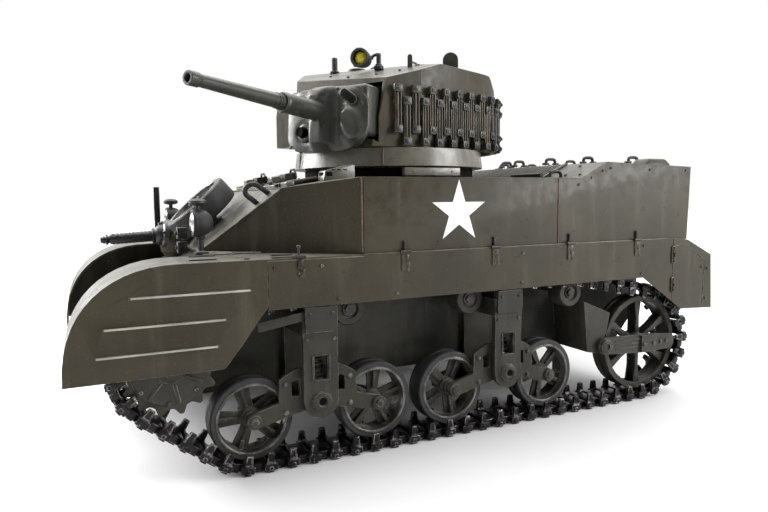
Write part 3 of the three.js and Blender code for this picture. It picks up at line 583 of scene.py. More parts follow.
# ---------- tracks ----------
def belt_points():
    rounds = []
    sprocket = node_middle("drive_sprocket_left")
    rounds.append((sprocket.x, sprocket.z, SPROCKET_R))
    wheel = node_middle("road_wheel_1_left")
    rounds.append((236 + 2 * CHORD, wheel.z + CHORD, wheel.z + CHORD - PITCH_LINE))
    idler = node_middle("idler_wheel_left")
    rounds.append((idler.x, idler.z + CHORD, idler.z + CHORD - PITCH_LINE))
    for number in (1, 2, 3):
        low, high = node_box(f"return_roller_{number}_left")
        middle = (low + high) / 2
        rounds.append((middle.x, middle.z, (high.x - low.x) / 2 + 0.8 + PITCH_LINE))
    cloud = []
    for x, z, radius in rounds:
        cloud += arc_points((x, z), radius, 0, 358, 179)
    cloud.sort()

    def chain(points):
        kept = []
        for point in points:
            while len(kept) > 1:
                (ax, az), (bx, bz) = kept[-2], kept[-1]
                if (bx - ax) * (point[1] - az) - (bz - az) * (point[0] - ax) > 0:
                    break
                kept.pop()
            kept.append(point)
        return kept[:-1]

    return chain(cloud) + chain(cloud[::-1])


def link_frames():
    """Where each link joint lies on the belt, with the belt's direction there."""
    belt = belt_points()
    ends = belt[1:] + belt[:1]
    lengths = [math.dist(a, b) for a, b in zip(belt, ends)]
    total = sum(lengths)
    count = round(total / LINK_PITCH)
    joints = []
    edge = 0
    reached = 0
    for i in range(count):
        goal = total * i / count
        while reached + lengths[edge] < goal:
            reached += lengths[edge]
            edge += 1
        t = (goal - reached) / lengths[edge]
        a, b = belt[edge], ends[edge]
        joints.append(Vector((a[0] + (b[0] - a[0]) * t, a[1] + (b[1] - a[1]) * t)))
    return joints


def belt_matrix(at, along, y=0):
    """Local X runs along the belt, Y across it and Z out of it."""
    out = Vector((along.y, -along.x))
    return Matrix((
        (along.x, 0, out.x, at.x), (0, 1, 0, y), (along.y, 0, out.y, at.y), (0, 0, 0, 1),
    ))


def track_shoe():
    """One link's block: a ribbed pad on two pins."""
    shoe = Shape()
    shoe.box((18.6, 35.2, 7.6), bevel=1.0)
    shoe.box((7.0, 35.0, 1.9), (0, 0, 4.3), bevel=0.6)
    for side in (-1, 1):
        shoe.rod(2.3, 46, (side * 7.6, 0, 0), LEFT, sides=10)
        shoe.box((15.5, 3.0, 2.2), (0, side * 11, 4.0), bevel=0.6)
    return shoe


def end_connector():
    """The forging that ties two links: a body over both pins, a wedge nut and a hollow-faced guide horn."""
    part = Shape()
    part.box((13.4, 5.8, 7.6), bevel=1.3)
    part.box((6.4, 5.4, 1.9), (0, 0, 4.4), bevel=0.6)
    part.box((3.6, 1.2, 3.0), (0, 2.9, 1.2), bevel=0.4)
    foot, tip = 4.6, 3.1
    top = -3.4 - HORN
    part.plate([(-foot, -3.2), (foot, -3.2), (tip, top), (-tip, top)], 2.6,
               Matrix.Translation((0, 1.3, 0)) @ UPRIGHT, 0.5)
    frame_lines = (
        ((-foot + 0.7, -3.4), (-tip + 0.6, top + 0.7)), ((foot - 0.7, -3.4), (tip - 0.6, top + 0.7)),
        ((-tip + 0.6, top + 0.7), (tip - 0.6, top + 0.7)), ((-foot + 1, -4.4), (foot - 1, -4.4)),
    )
    for face_y in (-1.5, 1.5):
        for start, end in frame_lines:
            part.tube([(start[0], face_y, start[1]), (end[0], face_y, end[1])], 0.62, sides=6)
    return part


def build_tracks():
    joints = link_frames()
    count = len(joints)
    shoe = track_shoe()
    connector = end_connector()
    for side, sign in SIDES:
        shoes = Shape()
        connectors = Shape()
        for i, joint in enumerate(joints):
            after = joints[(i + 1) % count]
            before = joints[i - 1]
            along = (after - joint).normalized()
            shoes.add(shoe, belt_matrix((joint + after) / 2, along))
            smooth = (after - before).normalized()
            for edge in (-1, 1):
                connectors.add(connector, belt_matrix(joint, smooth, edge * CONNECTOR_Y) @ mirror(edge))
        bmesh.ops.recalc_face_normals(connectors.bm, faces=connectors.bm.faces)
        place = Matrix.Translation((0, sign * TRACK_Y, 0)) @ mirror(sign)
        store(f"track_shoes_{side}", shoes, "hull", STEEL, matrix=place,
              instead=[f"track_loop_{side}"])
        store(f"track_connectors_{side}", connectors, "hull", STEEL, matrix=place)


# ---------- wheels ----------
def tyre(grooved=True):
    ring = Shape()
    groove = [(42.35, -1.2), (41.7, -0.8), (41.7, 0.8), (42.35, 1.2)] if grooved else [(42.35, 0)]
    ring.lathe([
        (36.4, -12.4), (40.6, -12.7), (41.9, -11.6), (42.35, -9.5), *groove, (42.35, 9.5), (41.9, 11.6),
        (40.6, 12.7), (36.4, 12.4),
    ], axis=LEFT, sides=72)
    return ring


def wheel_disc():
    """A road wheel without its tyre: a bare rim (slot 1), a hub and five ribbed spokes."""
    disc = Shape()
    disc.lathe([
        (33.4, -12.0), (36.6, -12.6), (36.6, 12.6), (35.8, 13.3), (34.4, 13.3), (33.6, 12.6),
        (33.4, 6.5), (32.4, 5.0), (32.4, -4.0),
    ], axis=LEFT, sides=72, slot=1)
    disc.lathe([
        (5.5, -12.6), (9.0, -12.6), (9.0, -4), (10.5, -2), (10.5, 5.5), (8.6, 7.5), (8.6, 12.4), (7.6, 13.4),
        (5.5, 13.4),
    ], axis=LEFT, sides=40)
    for i in range(5):
        turn = Matrix.Rotation(math.pi / 2 + i * 2 * math.pi / 5, 4, "Y")
        blade = [(8.5, -6.4), (33.2, -8.6), (33.2, 8.6), (8.5, 6.4)]
        spoke = Shape()
        spoke.plate(blade, 3.0, Matrix.Translation((0, 2.2, 0)) @ UPRIGHT, 0.7)
        spoke.box((22, 3.4, 3.0), (23, 3.4, 0), bevel=1.2)
        spoke.box((9.5, 2.6, 4.4), (29, 5.0, 0), bevel=1.2)
        spoke.box((24, 6.5, 2.2), (21, -2.6, 0), bevel=0.6)
        disc.add(spoke, turn)
    return disc


def build_road_wheels():
    for side, sign in SIDES:
        for number in (1, 2, 3, 4):
            body = f"road_wheel_{number}_{side}"
            spin = Matrix.Rotation(number * 0.9, 4, "Y")
            place = Matrix.Translation(hinge(f"{body}_spin")) @ mirror(sign) @ spin
            store(f"tyre_{number}_{side}", tyre(), body, RUBBER, matrix=place, instead=[body])
            store(f"wheel_disc_{number}_{side}", wheel_disc(), body, OLIVE_DARK, RIM, matrix=place)


def idler_shape():
    """The trailing idler: a grooved rim on six double spokes."""
    wheel = Shape()
    web = [(10, -3.4), (34, -2.8), (57.5, -6), (57.5, 6), (34, 2.8), (10, 3.4)]
    wheel.lathe([
        (56.5, -11.6), (62.6, -12), (63.5, -11), (63.5, -6), (61.2, -5), (61.2, 5), (63.5, 6), (63.5, 11),
        (62.6, 12), (56.5, 11.6), (55.6, 10.4), (55.6, 8.6), (57.4, 7.6), (57.4, -7.6), (55.6, -8.6),
        (55.6, -10.4),
    ], axis=LEFT, sides=96)
    wheel.lathe([
        (6.6, -12), (11, -12), (12.5, -9), (12.5, 7), (10.5, 10), (10.5, 12), (6.6, 12),
    ], axis=LEFT, sides=40)
    for i in range(6):
        turn = Matrix.Rotation(math.pi / 2 + i * math.pi / 3, 4, "Y")
        spoke = Shape()
        spoke.plate(web, 2.6, Matrix.Translation((0, 7.4, 0)) @ UPRIGHT, 0.6)
        spoke.box((47, 15, 2.0), (34, 0, 0), bevel=0.5)
        spoke.plate(web, 2.6, Matrix.Translation((0, -5.2, 0)) @ UPRIGHT, 0.6)
        wheel.add(spoke, turn)
    return wheel


def sprocket_shape():
    """Two toothed rings on a drum, with a ribbed cover plate on the outer one."""
    wheel = Shape()
    tip = SPROCKET_R - PITCH_LINE - CHORD
    step = 2 * math.pi / SPROCKET_TEETH
    flank = ((-0.36, tip - 6.6), (-0.27, tip - 5), (-0.12, tip - 0.8), (-0.06, tip))
    tooth = flank + tuple((-share, radius) for share, radius in flank[::-1])
    outline = []
    for i in range(SPROCKET_TEETH):
        for share, radius in tooth:
            angle = (i + share) * step
            outline.append((radius * math.cos(angle), radius * math.sin(angle)))
    for low, high in ((12, 16), (-16, -12)):
        side_plate(wheel, outline, low, high, 0.5)
    wheel.rod(17, 32, (0, 0, 0), LEFT, sides=40)
    wheel.lathe([
        (0, 15.5), (35, 15.5), (35, 17), (33.6, 18.2), (16, 19.5), (13, 21), (12, 23), (0, 23),
    ], axis=LEFT, sides=56)
    for i in range(7):
        turn = Matrix.Rotation(i * 2 * math.pi / 7, 4, "Y")
        rib = Shape()
        rib.box((20, 3.4, 3.0), (23, 19.2, 0), bevel=1.0)
        rib.hexagon(2.1, 2.2, (30.5, 19, 9.4), LEFT)
        wheel.add(rib, turn)
    wheel.hexagon(6.4, 3.4, (0, 23.2, 0), LEFT)
    return wheel


def roller_shape():
    roller = Shape()
    roller.lathe([
        (4.6, -12), (16.2, -12), (17.2, -11.2), (17.7, -10), (17.7, 10), (17.2, 11.2), (16.2, 12), (11, 12),
        (10, 11), (9.4, 9), (4.6, 9),
    ], axis=LEFT, sides=48)
    return roller


def build_other_wheels():
    for side, sign in SIDES:
        for kind, spin, shape in (("idler_wheel", "idler_wheel", idler_shape()),
                                  ("drive_sprocket", "sprocket", sprocket_shape())):
            body = f"{kind}_{side}"
            place = Matrix.Translation(hinge(f"{spin}_{side}_spin")) @ mirror(sign)
            store(f"{body}_casting", shape, body, OLIVE_DARK, matrix=place, instead=[body])
        for number in (1, 2, 3):
            body = f"return_roller_{number}_{side}"
            place = Matrix.Translation(hinge(f"{body}_spin")) @ mirror(sign)
            store(f"{body}_drum", roller_shape(), body, OLIVE_DARK, matrix=place, instead=[body])
            nut = Shape()
            nut.rod(7.4, 2.2, (0, 9.6, 0), LEFT, sides=28)
            nut.hexagon(5.2, 4.4, (0, 11.2, 0), LEFT)
            store(f"{body}_nut", nut, "hull", BLACK, matrix=place)


# ---------- the rest of the running gear ----------
def volute_spring():
    """A volute spring seen through the column's window: a spiral of bar that rises and narrows."""
    spring = Shape()
    points = []
    for i in range(61):
        turn = i / 60 * 5 * 2 * math.pi
        radius = 9.0 - 4.0 * i / 60
        points.append((radius * math.cos(turn), radius * math.sin(turn), -13 + 26 * i / 60))
    spring.tube(points, 1.7, sides=8)
    return spring


def build_suspension():
    for side, sign in SIDES:
        for number in (1, 2, 3, 4):
            node = f"bogie_arm_{number}_{side}"
            refined(node, node, OLIVE_DARK, 0.8)
            wheel = hinge(f"road_wheel_{number}_{side}_spin")
            hub = Shape()
            hub.rod(7.6, 4.0, (wheel.x, sign * 176.2, wheel.z), (0, sign, 0), sides=28, edge=0.8)
            hub.hexagon(4.6, 3.2, (wheel.x, sign * 178.6, wheel.z), (0, sign, 0))
            toward = 1 if number % 2 else -1
            lug_x = wheel.x - toward * 33
            for z in (57.5, 86.5):
                hub.rod(3.2, 1.2, (lug_x, sign * 175.2, z), (0, sign, 0), sides=20)
                hub.rod(2.3, 2.6, (lug_x, sign * 176.2, z), (0, sign, 0), sides=16, edge=0.9, slot=1)
            store(f"arm_pins_{number}_{side}", hub, node, OLIVE_DARK, RIM, slot="bare_metal")
        for place, x in (("front", 168), ("rear", -64)):
            refined(f"bogie_bracket_{place}_{side}", "hull", OLIVE_DARK, 0.8)
            spring = volute_spring()
            store(f"volute_spring_{place}_{side}", spring, "hull", BLACK,
                  matrix=Matrix.Translation((x, sign * 166, 104)))
            trim = Shape()
            for dx in (-14.5, 14.5):
                bolt(trim, (x + dx, sign * 184.6, 131), (0, sign, 0), 1.9)
                trim.box((1.6, 1.6, 26), (x + dx * 0.62, sign * 184.4, 101.5), bevel=0.5)
            for dx in (-12, 12):
                bolt(trim, (x + dx, sign * 188.6, 158), (0, sign, 0), 1.7)
            trim.box((15.5, 1.4, 1.8), (x, sign * 184.4, 88.4), bevel=0.5)
            trim.box((15.5, 1.4, 1.8), (x, sign * 184.4, 114.8), bevel=0.5)
            trim.lathe([(4.2, -0.6), (9.4, -0.6), (9.8, 0.6), (8.4, 1.5), (5.4, 1.7), (4.2, 0.9)],
                       at=(x, sign * 186.6, 67), axis=(0, sign, 0), sides=40)
            store(f"bracket_trim_{place}_{side}", trim, "hull", OLIVE_DARK)
            # Painted shade: a black hexagon inside the bracket's socket.
            hole = Shape()
            hole.rod(4.1, 1.2, (x, sign * 185.9, 67), (0, sign, 0), sides=6, edge=0.1)
            store(f"bracket_socket_{place}_{side}", hole, "hull", SHADE_BLACK)
        arm = f"idler_arm_{side}"
        refined(arm, arm, OLIVE_DARK, 0.8)
        trim = Shape()
        for dz in (-5, 0, 5):
            trim.box((46, 1.4, 1.5), (-262, sign * 178.4, 77.8 + dz), bevel=0.5)
        for dx in (-9, 8):
            bolt(trim, (-295 + dx, sign * 182.3, 75.5), (0, sign, 0), 2.6)
        for dx in (-26, -36):
            bolt(trim, (-295 + dx, sign * 178.8, 75.5), (0, sign, 0), 2.4)
        trim.lathe([(3.8, 0), (8.8, 0), (9.0, 1.2), (6, 2.4), (3.8, 2.4)], at=(-222, sign * 180.4, 79),
                   axis=(0, sign, 0), sides=36)
        store(f"idler_arm_trim_{side}", trim, arm, OLIVE_DARK)
        stay = Shape()
        lean = Matrix.Rotation(math.radians(9), 4, "Y")
        stay.box((50, 3, 9), (207.5, sign * 183.5, 152.5), turn=lean, bevel=0.6)
        store(f"fender_stay_{side}", stay, "hull", OLIVE_DARK)


# ---------- hull skins ----------
def build_hull_skins():
    refined("hull_tub", "hull", OLIVE_DARK, 0.9)
    refined("hull_upper", "hull", OLIVE, 0.6)
    refined("engine_deck", "hull", OLIVE, 0.5)
    for side, _ in SIDES:
        for sheet in ("front_fender", "side_skirt", "rear_skirt"):
            refined(f"{sheet}_{side}", "hull", OLIVE, 0.35)
        for hatch in (f"driver_hatch_{side}", f"turret_hatch_{side}"):
            refined(hatch, hatch, OLIVE, 0.7)
        refined(f"drive_motor_{side}", "hull", MOTOR, 0.5)
    refined("battery_and_control_tray", "hull", PLASTIC, 0.6)
    refined("turret_shell", "turret", OLIVE, 0.8)
    # Painted reflection: the ring's pale tone stands for the bright floor it mirrors.
    refined("turret_ring", "turret", PALE_OLIVE_SHEEN, 0.6)


# ---------- turret ----------
# The round tail's centre, ahead and to the left in the turret's own frame, and its radius.
TAIL_U, TAIL_V, TAIL_R = -58.7, 12.1, 106


def turret_roof(u, v):
    """The roof's height: flat, falling a little to the left wall, with a sloped face at the front."""
    flat = 437.5 - 7 * max(0, v - 66) / 59
    return min(flat, 452.3 - 0.35 * u - 0.068 * v)


def dip(distance, reach):
    """One at the middle, falling smoothly to zero at the reach."""
    share = min(abs(distance) / reach, 1)
    return (1 - share * share) ** 2


def mantlet_front(v, h):
    """How far the cast face stands ahead of the trunnion, at a place across and a height."""
    across = min(abs(v - 2) / 61, 1)
    upward = min(abs(h + 11) / 41.5, 1)
    rim = ((1 - across ** 5) * (1 - upward ** 4)) ** 0.42
    depth = 31.5 + 8 * rim
    trunk = dip(max(abs(v) - 8, 0), 9) * (1 if h > -36 else max(0, 1 - (-36 - h) / 14))
    depth += 13 * trunk * rim
    lobe = min(1, 2.4 * dip(math.hypot((v - 44 + 0.25 * (h + 15)) / 19, (h + 17) / 28), 1))
    depth += 8 * lobe * rim
    depth -= 3.0 * dip(v - 22, 6) * dip(h + 10, 34) * rim
    depth -= 5.0 * dip(math.hypot(v + 27, h + 22), 17)
    brow = dip(max(abs(v + 14) - 22, 0), 10) * dip(max(abs(h - 22) - 3, 0), 9)
    depth += 4.5 * brow
    depth += 2.5 * dip(math.hypot((v - 39) / 17, (h - 18) / 13), 1)
    return depth


def oval_relief(shape, middle, half, front, back):
    """A closed block with a rounded outline, whose front is a height map and whose back is flat."""
    rings, sides = 22, 72
    power = 3.2
    part = bmesh.new()

    def spot(share, angle, depth):
        cos, sin = math.cos(angle), math.sin(angle)
        grow = (abs(cos) ** power + abs(sin) ** power) ** (-1 / power)
        v = middle[0] + half[0] * share * grow * cos
        h = middle[1] + half[1] * share * grow * sin
        return part.verts.new((depth(v, h), v, h))

    angles = [2 * math.pi * i / sides for i in range(sides)]
    shares = [math.sin(math.pi / 2 * i / rings) for i in range(1, rings + 1)]
    centre = part.verts.new((front(*middle), *middle))
    loops = [[spot(share, angle, front) for angle in angles] for share in shares]
    loops.append([spot(1, angle, lambda v, h: back) for angle in angles])
    end = part.verts.new((back, *middle))
    for k in range(sides):
        n = (k + 1) % sides
        part.faces.new((centre, loops[0][k], loops[0][n]))
        part.faces.new((end, loops[-1][n], loops[-1][k]))
        for low, high in zip(loops, loops[1:]):
            part.faces.new((low[k], high[k], high[n], low[n]))
    bmesh.ops.recalc_face_normals(part, faces=part.faces)
    shape.take(part)


# Local X and Y become the gun's left and up, so outlines on its face can be written as they look.
ON_FACE = Matrix(((0, 0, 1, 0), (1, 0, 0, 0), (0, 1, 0, 0), (0, 0, 0, 1)))


def stadium(start, end, radius):
    """The outline of a slot with round ends."""
    heading = math.degrees(math.atan2(end[1] - start[1], end[0] - start[0]))
    points = arc_points(end, radius, heading - 90, heading + 90, 8)
    return points + arc_points(start, radius, heading + 90, heading + 270, 8)


def build_gun():
    mantlet = Shape()
    oval_relief(mantlet, (2, -8), (61, 38), mantlet_front, 30.5)
    mantlet.box((30, 116, 58), (20, 2, 1), bevel=5)
    sight = ((34, 19), (46.5, 10.5))
    port = stadium(*sight, 5.0)
    depth = mantlet_front(40, 15) + 0.6
    rim = [(depth + 0.4, v, h) for v, h in port + port[:1]]
    mantlet.tube(rim, 0.9, sides=8)
    mantlet.lathe([(5.6, 33), (11.4, 33), (11.4, 38.5), (10.2, 40.5), (7.4, 40.5), (6.8, 38), (5.6, 38)],
                  at=(0, -27, -22), axis=AHEAD, sides=32)
    mantlet.lathe([
        (8.8, 34), (12.4, 34), (12.2, 50), (11.2, 56), (11.0, 100), (11.6, 101.5), (11.6, 105), (11.0, 106.5),
        (10.4, 108), (8.8, 108),
    ], axis=AHEAD, sides=48)
    for v, h in ((-50, 18), (-50, -38), (56, 6), (20, 26)):
        mantlet.rod(2.2, 2, (mantlet_front(v, h) + 0.3, v, h), AHEAD, sides=14, edge=0.8)
    store("mantlet_casting", mantlet, "gun", CAST, matrix=GUN, instead=["mantlet"], sharp=60)
    # Painted shade: flat black in the sight port and on the coaxial gun in its recess.
    dark = Shape()
    dark.plate(stadium(*sight, 4.8), 1.8, Matrix.Translation((depth - 0.2, 0, 0)) @ ON_FACE, 0.3)
    dark.rod(4.4, 20, (38, -27, -22), AHEAD, sides=24)
    for step in range(5):
        dark.lathe([(4.2, -0.6), (5.8, -0.6), (5.8, 0.6), (4.2, 0.6)], at=(40.5 + step * 1.9, -27, -22),
                   axis=AHEAD, sides=24)
    store("sight_and_coaxial", dark, "gun", SHADE_BLACK, matrix=GUN)
    barrel = Shape()
    barrel.lathe([
        (0, 17), (8.3, 17), (8.3, 108), (7.7, 140), (6.2, 219), (6.9, 220), (7.2, 221), (7.2, 231.2),
        (6.6, 232.3), (4.6, 232.3), (4.0, 231.4), (4.0, 193), (0, 193),
    ], axis=AHEAD, sides=48)
    for at in (112, 116):
        barrel.lathe([(7.6, -0.8), (8.7, -0.8), (8.7, 0.8), (7.6, 0.8)], at=(at, 0, 0), axis=AHEAD, sides=40)
    store("gun_tube", barrel, "gun", DARK_OLIVE, matrix=GUN, instead=["gun_barrel"])
    bore = Shape()
    bore.rod(4.05, 36, (211.5, 0, 0), AHEAD, sides=32, edge=0.2)
    store("bore_shadow", bore, "gun", SHADE_BLACK, matrix=GUN)


def left_wall(out):
    """The turret's left wall from its front corner to the round tail, moved outwards."""
    points = [
        (100 + 0.51 * out, 72 + 0.86 * out),
        (66 + 0.39 * out, 92 + 0.92 * out),
        (21.5 + 0.22 * out, 104.8 + out),
    ]
    return points + arc_points((TAIL_U, TAIL_V), TAIL_R + out, 79, 150, 40)


def along_path(path, pitch):
    """Evenly spaced places on a path, each with the path's direction there."""
    lengths = [math.dist(a, b) for a, b in zip(path, path[1:])]
    total = sum(lengths)
    count = round(total / pitch)
    spots = []
    for i in range(count):
        goal = total * (i + 0.5) / count
        edge = 0
        while goal > lengths[edge]:
            goal -= lengths[edge]
            edge += 1
        a, b = Vector(path[edge]), Vector(path[edge + 1])
        spots.append((a.lerp(b, goal / lengths[edge]), math.atan2(b.y - a.y, b.x - a.x)))
    return spots


def spare_link():
    """One spare link hung upright: a ribbed shank between two end forgings. Local -Y is outwards."""
    shank = Shape()
    shank.box((6.8, 3.6, 47), (-0.4, -3.4, 28.5), bevel=0.8)
    shank.box((2.0, 2.4, 40), (-0.8, -5.6, 28.5), bevel=0.7)
    shank.box((9.8, 1.2, 3.0), (0, -2.6, 20), bevel=0.4)
    shank.box((9.8, 1.2, 3.0), (0, -2.6, 37), bevel=0.4)
    ends = Shape()
    ends.rod(1.5, 46, (3.4, -5.4, 28.5), UP, sides=12)
    for z in (5.2, 51.8):
        ends.box((11.2, 6.6, 9.6), (0, -4.8, z), bevel=1.6)
        ends.box((5.6, 2.6, 5.2), (-0.6, -8.2, z), bevel=0.9)
        ends.hexagon(1.7, 2.0, (-0.6, -9.4, z), (0, -1, 0))
    return shank, ends


def build_spare_links():
    shank, ends = spare_link()
    shanks = Shape()
    forgings = Shape()
    for i, (spot, heading) in enumerate(along_path(left_wall(0.6), LINK_PITCH / 2)):
        base = 333 if i % 2 else 347
        place = Matrix.Translation((spot.x, spot.y, base)) @ Matrix.Rotation(heading, 4, "Z")
        shanks.add(shank, place)
        forgings.add(ends, place)
    store("spare_link_shanks", shanks, "turret", RUSTY, matrix=TURRET, instead=["spare_track_rack"])
    store("spare_link_ends", forgings, "turret", CAST, matrix=TURRET, slot="track_steel")


def build_turret_fittings():
    roof = Shape()
    for u, v, radius, low, high in ((57, -45, 3.8, 432, 455), (-84, 40, 4.2, 416, 426)):
        roof.rod(radius, high - low, (u, v, (low + high) / 2), sides=22, edge=0.8)
        roof.rod(radius + 2.4, 3, (u, v, turret_roof(u, v) + 1.0 if u > 0 else low + 2), sides=26, edge=0.8)
    facing = Matrix.Rotation(math.radians(-60), 4, "Z") @ UPRIGHT
    fin = [(-3, 0), (3, 0)] + arc_points((0, 14.6), 3, 0, 180, 8)
    roof.plate(fin, 3.6, Matrix.Translation((46, 64, turret_roof(46, 64) - 1.6)) @ facing, 0.7)
    disc = [(-9.6, 0), (9.6, 0)] + arc_points((0, 11.6), 9.6, 0, 180, 14)
    roof.plate(disc, 3.6, Matrix.Translation((5, 98, 431.5)) @ facing, 0.8)
    edge = [(38, 66), (24, 93), (-18, 99), (-44, 94), (-46, 66)]
    roof.plate(edge, 4.6, Matrix.Translation((0, 0, 431.6)), 0.9)
    roof.lathe([(7, 0), (12, 0), (11.4, 3.4), (9.6, 4.2), (7, 4.2)], at=(36, -24, 436.9), sides=32)
    for u, v in ((-62, 30), (-62, -30), (84, 40), (84, -30), (34, -62), (66, 62), (95, 6)):
        low = 433 if u < 0 else turret_roof(u, v)
        bolt(roof, (u, v, low + 0.6), UP, 1.9)
    store("roof_fittings", roof, "turret", OLIVE_DARK, matrix=TURRET)
    seams = Shape()
    bead(seams, [(107.2, 64.4, 310.6), (106.2, 64.0, 331)], 0.8)
    bead(seams, [(107.2, -64.4, 310.6), (106.2, -64.0, 331)], 0.8)
    store("ring_seams", seams, "turret", WELD, matrix=TURRET)
    for name, side in SIDES:
        hatch = Shape()
        grip = [(-26, 0), (-26, 5), (-22, 7), (-10, 7), (-6, 5), (-6, 0)]
        hatch.tube([(u, side * 31, 444.6 + z) for u, z in grip], 1.3, sides=8)
        hatch.lathe([(6, 0), (9.5, 0), (9.2, 2.4), (7.4, 3), (6, 3)], at=(-2, side * 14, 440.8), sides=28)
        for u in (-43, 11):
            for v in (8, 55):
                bolt(hatch, (u, side * v, 441.8), UP, 1.6)
        store(f"turret_hatch_trim_{name}", hatch, f"turret_hatch_{name}", BLACK, matrix=TURRET)


def build_race():
    """Painted shade: a black band in the gap under the turret ring, with a straight block on each side of it
    in olive lightened for painted sheen.
    """
    gap = Shape()
    gap.lathe([(111.4, 295), (112.7, 295), (112.7, 308.6), (111.4, 308.6)], sides=96)
    store("race_shadow", gap, "hull", SHADE_BLACK)
    blocks = Shape()
    for side in (1, -1):
        blocks.box((75, 8.4, 9.4), (0.5, side * 118, 303.4), bevel=0.7)
        for x in (-26, 0, 26):
            bolt(blocks, (x, side * 122.4, 303.4), (0, side, 0), 1.4)
    store("race_blocks", blocks, "hull", PALE_OLIVE_SHEEN)


def build_spotlight():
    place = TURRET @ Matrix.Translation((54, 23, 0)) @ Matrix.Rotation(math.radians(15), 4, "Z")
    at = (0, -17, 444.5)
    body = Shape()
    body.lathe([
        (0, -4.4), (3.6, -4), (6.2, -2.2), (8.4, 1.4), (9.8, 6), (10.7, 11), (11.1, 17.4), (11.7, 18),
        (11.9, 19.2), (11.9, 22.8), (11.2, 24.3), (9.2, 24.3), (8.4, 23), (7.6, 17.6), (0, 17.6),
    ], at=at, axis=AHEAD, sides=56)
    body.rod(2.9, 17, (0, 0, 444), sides=20, edge=0.8)
    body.rod(4.2, 5, (0, 0, 437.5), sides=22, edge=1.2)
    body.rod(6.2, 5, (0, 0, 434.6), sides=28, edge=0.8)
    body.tube([(0, 0, 451), (0.4, -2, 451.4), (1.2, -5, 450.4), (2.4, -9, 447.6)], 1.9, sides=12)
    body.rod(2.6, 4, (3, -8.6, 447), (0.2, 1, 0.3), sides=16, edge=0.8)
    for angle in (20, 140, 260):
        turn = Matrix.Translation(at) @ Matrix.Rotation(math.radians(angle), 4, "X")
        clasp = Shape()
        clasp.box((5, 2.0, 1.4), (19, 0, 12.2), bevel=0.4)
        body.add(clasp, turn)
    store("spotlight_shell", body, "spotlight", RUBBER, matrix=place, instead=["spotlight"], slot="lamp_body")
    lens = Shape()
    lens.lathe([(0, 21.4), (3, 21.1), (5.6, 20), (7.3, 18.2), (7.3, 17), (0, 17)], at=at, axis=AHEAD,
               sides=40)
    store("spotlight_lens", lens, "spotlight", YELLOW, matrix=place)


# ---------- hull fittings ----------
def bead(shape, ends, radius):
    """A weld bead between two points, laid as close overlapping ripples."""
    start, end = Vector(ends[0]), Vector(ends[1])
    length = (end - start).length
    count = max(2, round(length / 2.2))
    axis = (end - start).normalized()
    for i in range(count):
        at = start.lerp(end, (i + 0.5) / count)
        swell = radius * (1 + 0.14 * math.sin(i * 2.3))
        shape.rod(swell, 2.6, at, axis, sides=8, edge=0.5)


def star_outline(radius):
    """A five-pointed star with a point upwards."""
    points = []
    for i in range(10):
        reach = radius if i % 2 == 0 else radius * 0.382
        angle = math.pi / 2 + i * math.pi / 5
        points.append((reach * math.cos(angle), reach * math.sin(angle)))
    return points


def build_markings():
    for side, sign in SIDES:
        star = Shape()
        place = Matrix.Translation((6.3, SIDE_Y + 0.45, 256.5)) @ UPRIGHT
        star.plate(star_outline(35.5), 0.6, place, 0)
        store(f"star_{side}", star, "hull", WHITE, matrix=mirror(sign))


def clip(shape, dark, x):
    """A skirt latch: a pin above the joint, a cross bar on it and a short swinging strap below."""
    back, front = (Matrix.Rotation(math.radians(lean), 4, "Y") for lean in (-9, -7))
    dark.rod(1.3, 8.5, (x, SIDE_Y + 1.6, 222.5), sides=10)
    dark.rod(2.1, 2.4, (x, SIDE_Y + 1.7, 226.6), sides=12, edge=0.7)
    shape.box((11, 3.2, 3.4), (x + 0.4, SKIRT_Y + 1.2, 216.4), bevel=0.9)
    shape.rod(1.8, 12.5, (x, SKIRT_Y + 2.0, 216.6), AHEAD, sides=14)
    shape.box((5.4, 1.5, 8.5), (x - 1.2, SKIRT_Y + 1.1, 209.4), turn=front, bevel=0.5)
    shape.rod(2.4, 2.2, (x - 1.6, SKIRT_Y + 1.6, 206), LEFT, sides=16, edge=0.7)
    shape.box((4.0, 1.5, 9), (x - 2.8, SKIRT_Y + 1.1, 200.6), turn=back, bevel=0.5)
    bolt(shape, (x - 3.3, SKIRT_Y + 1.9, 197.2), LEFT, 1.6)


# Places of the bolts on the hull's side and on the skirts, forward and up.
SIDE_BOLTS = [(-163.8, 286.5), (-184.2, 295), (-201.8, 303.6), (-214.8, 306.8), (-281.7, 305.3),
              (-347.8, 304.9)]
SKIRT_BOLTS = [(-79.2, 207.6), (-78, 173.3), (-271.6, 207.7), (-268.6, 172.1), (215.3, 206.9), (190.5, 200.5),
               (167.7, 206.5), (84, 173), (150, 172), (-381.1, 175), (-392.2, 172.3), (-389.7, 131.2)]


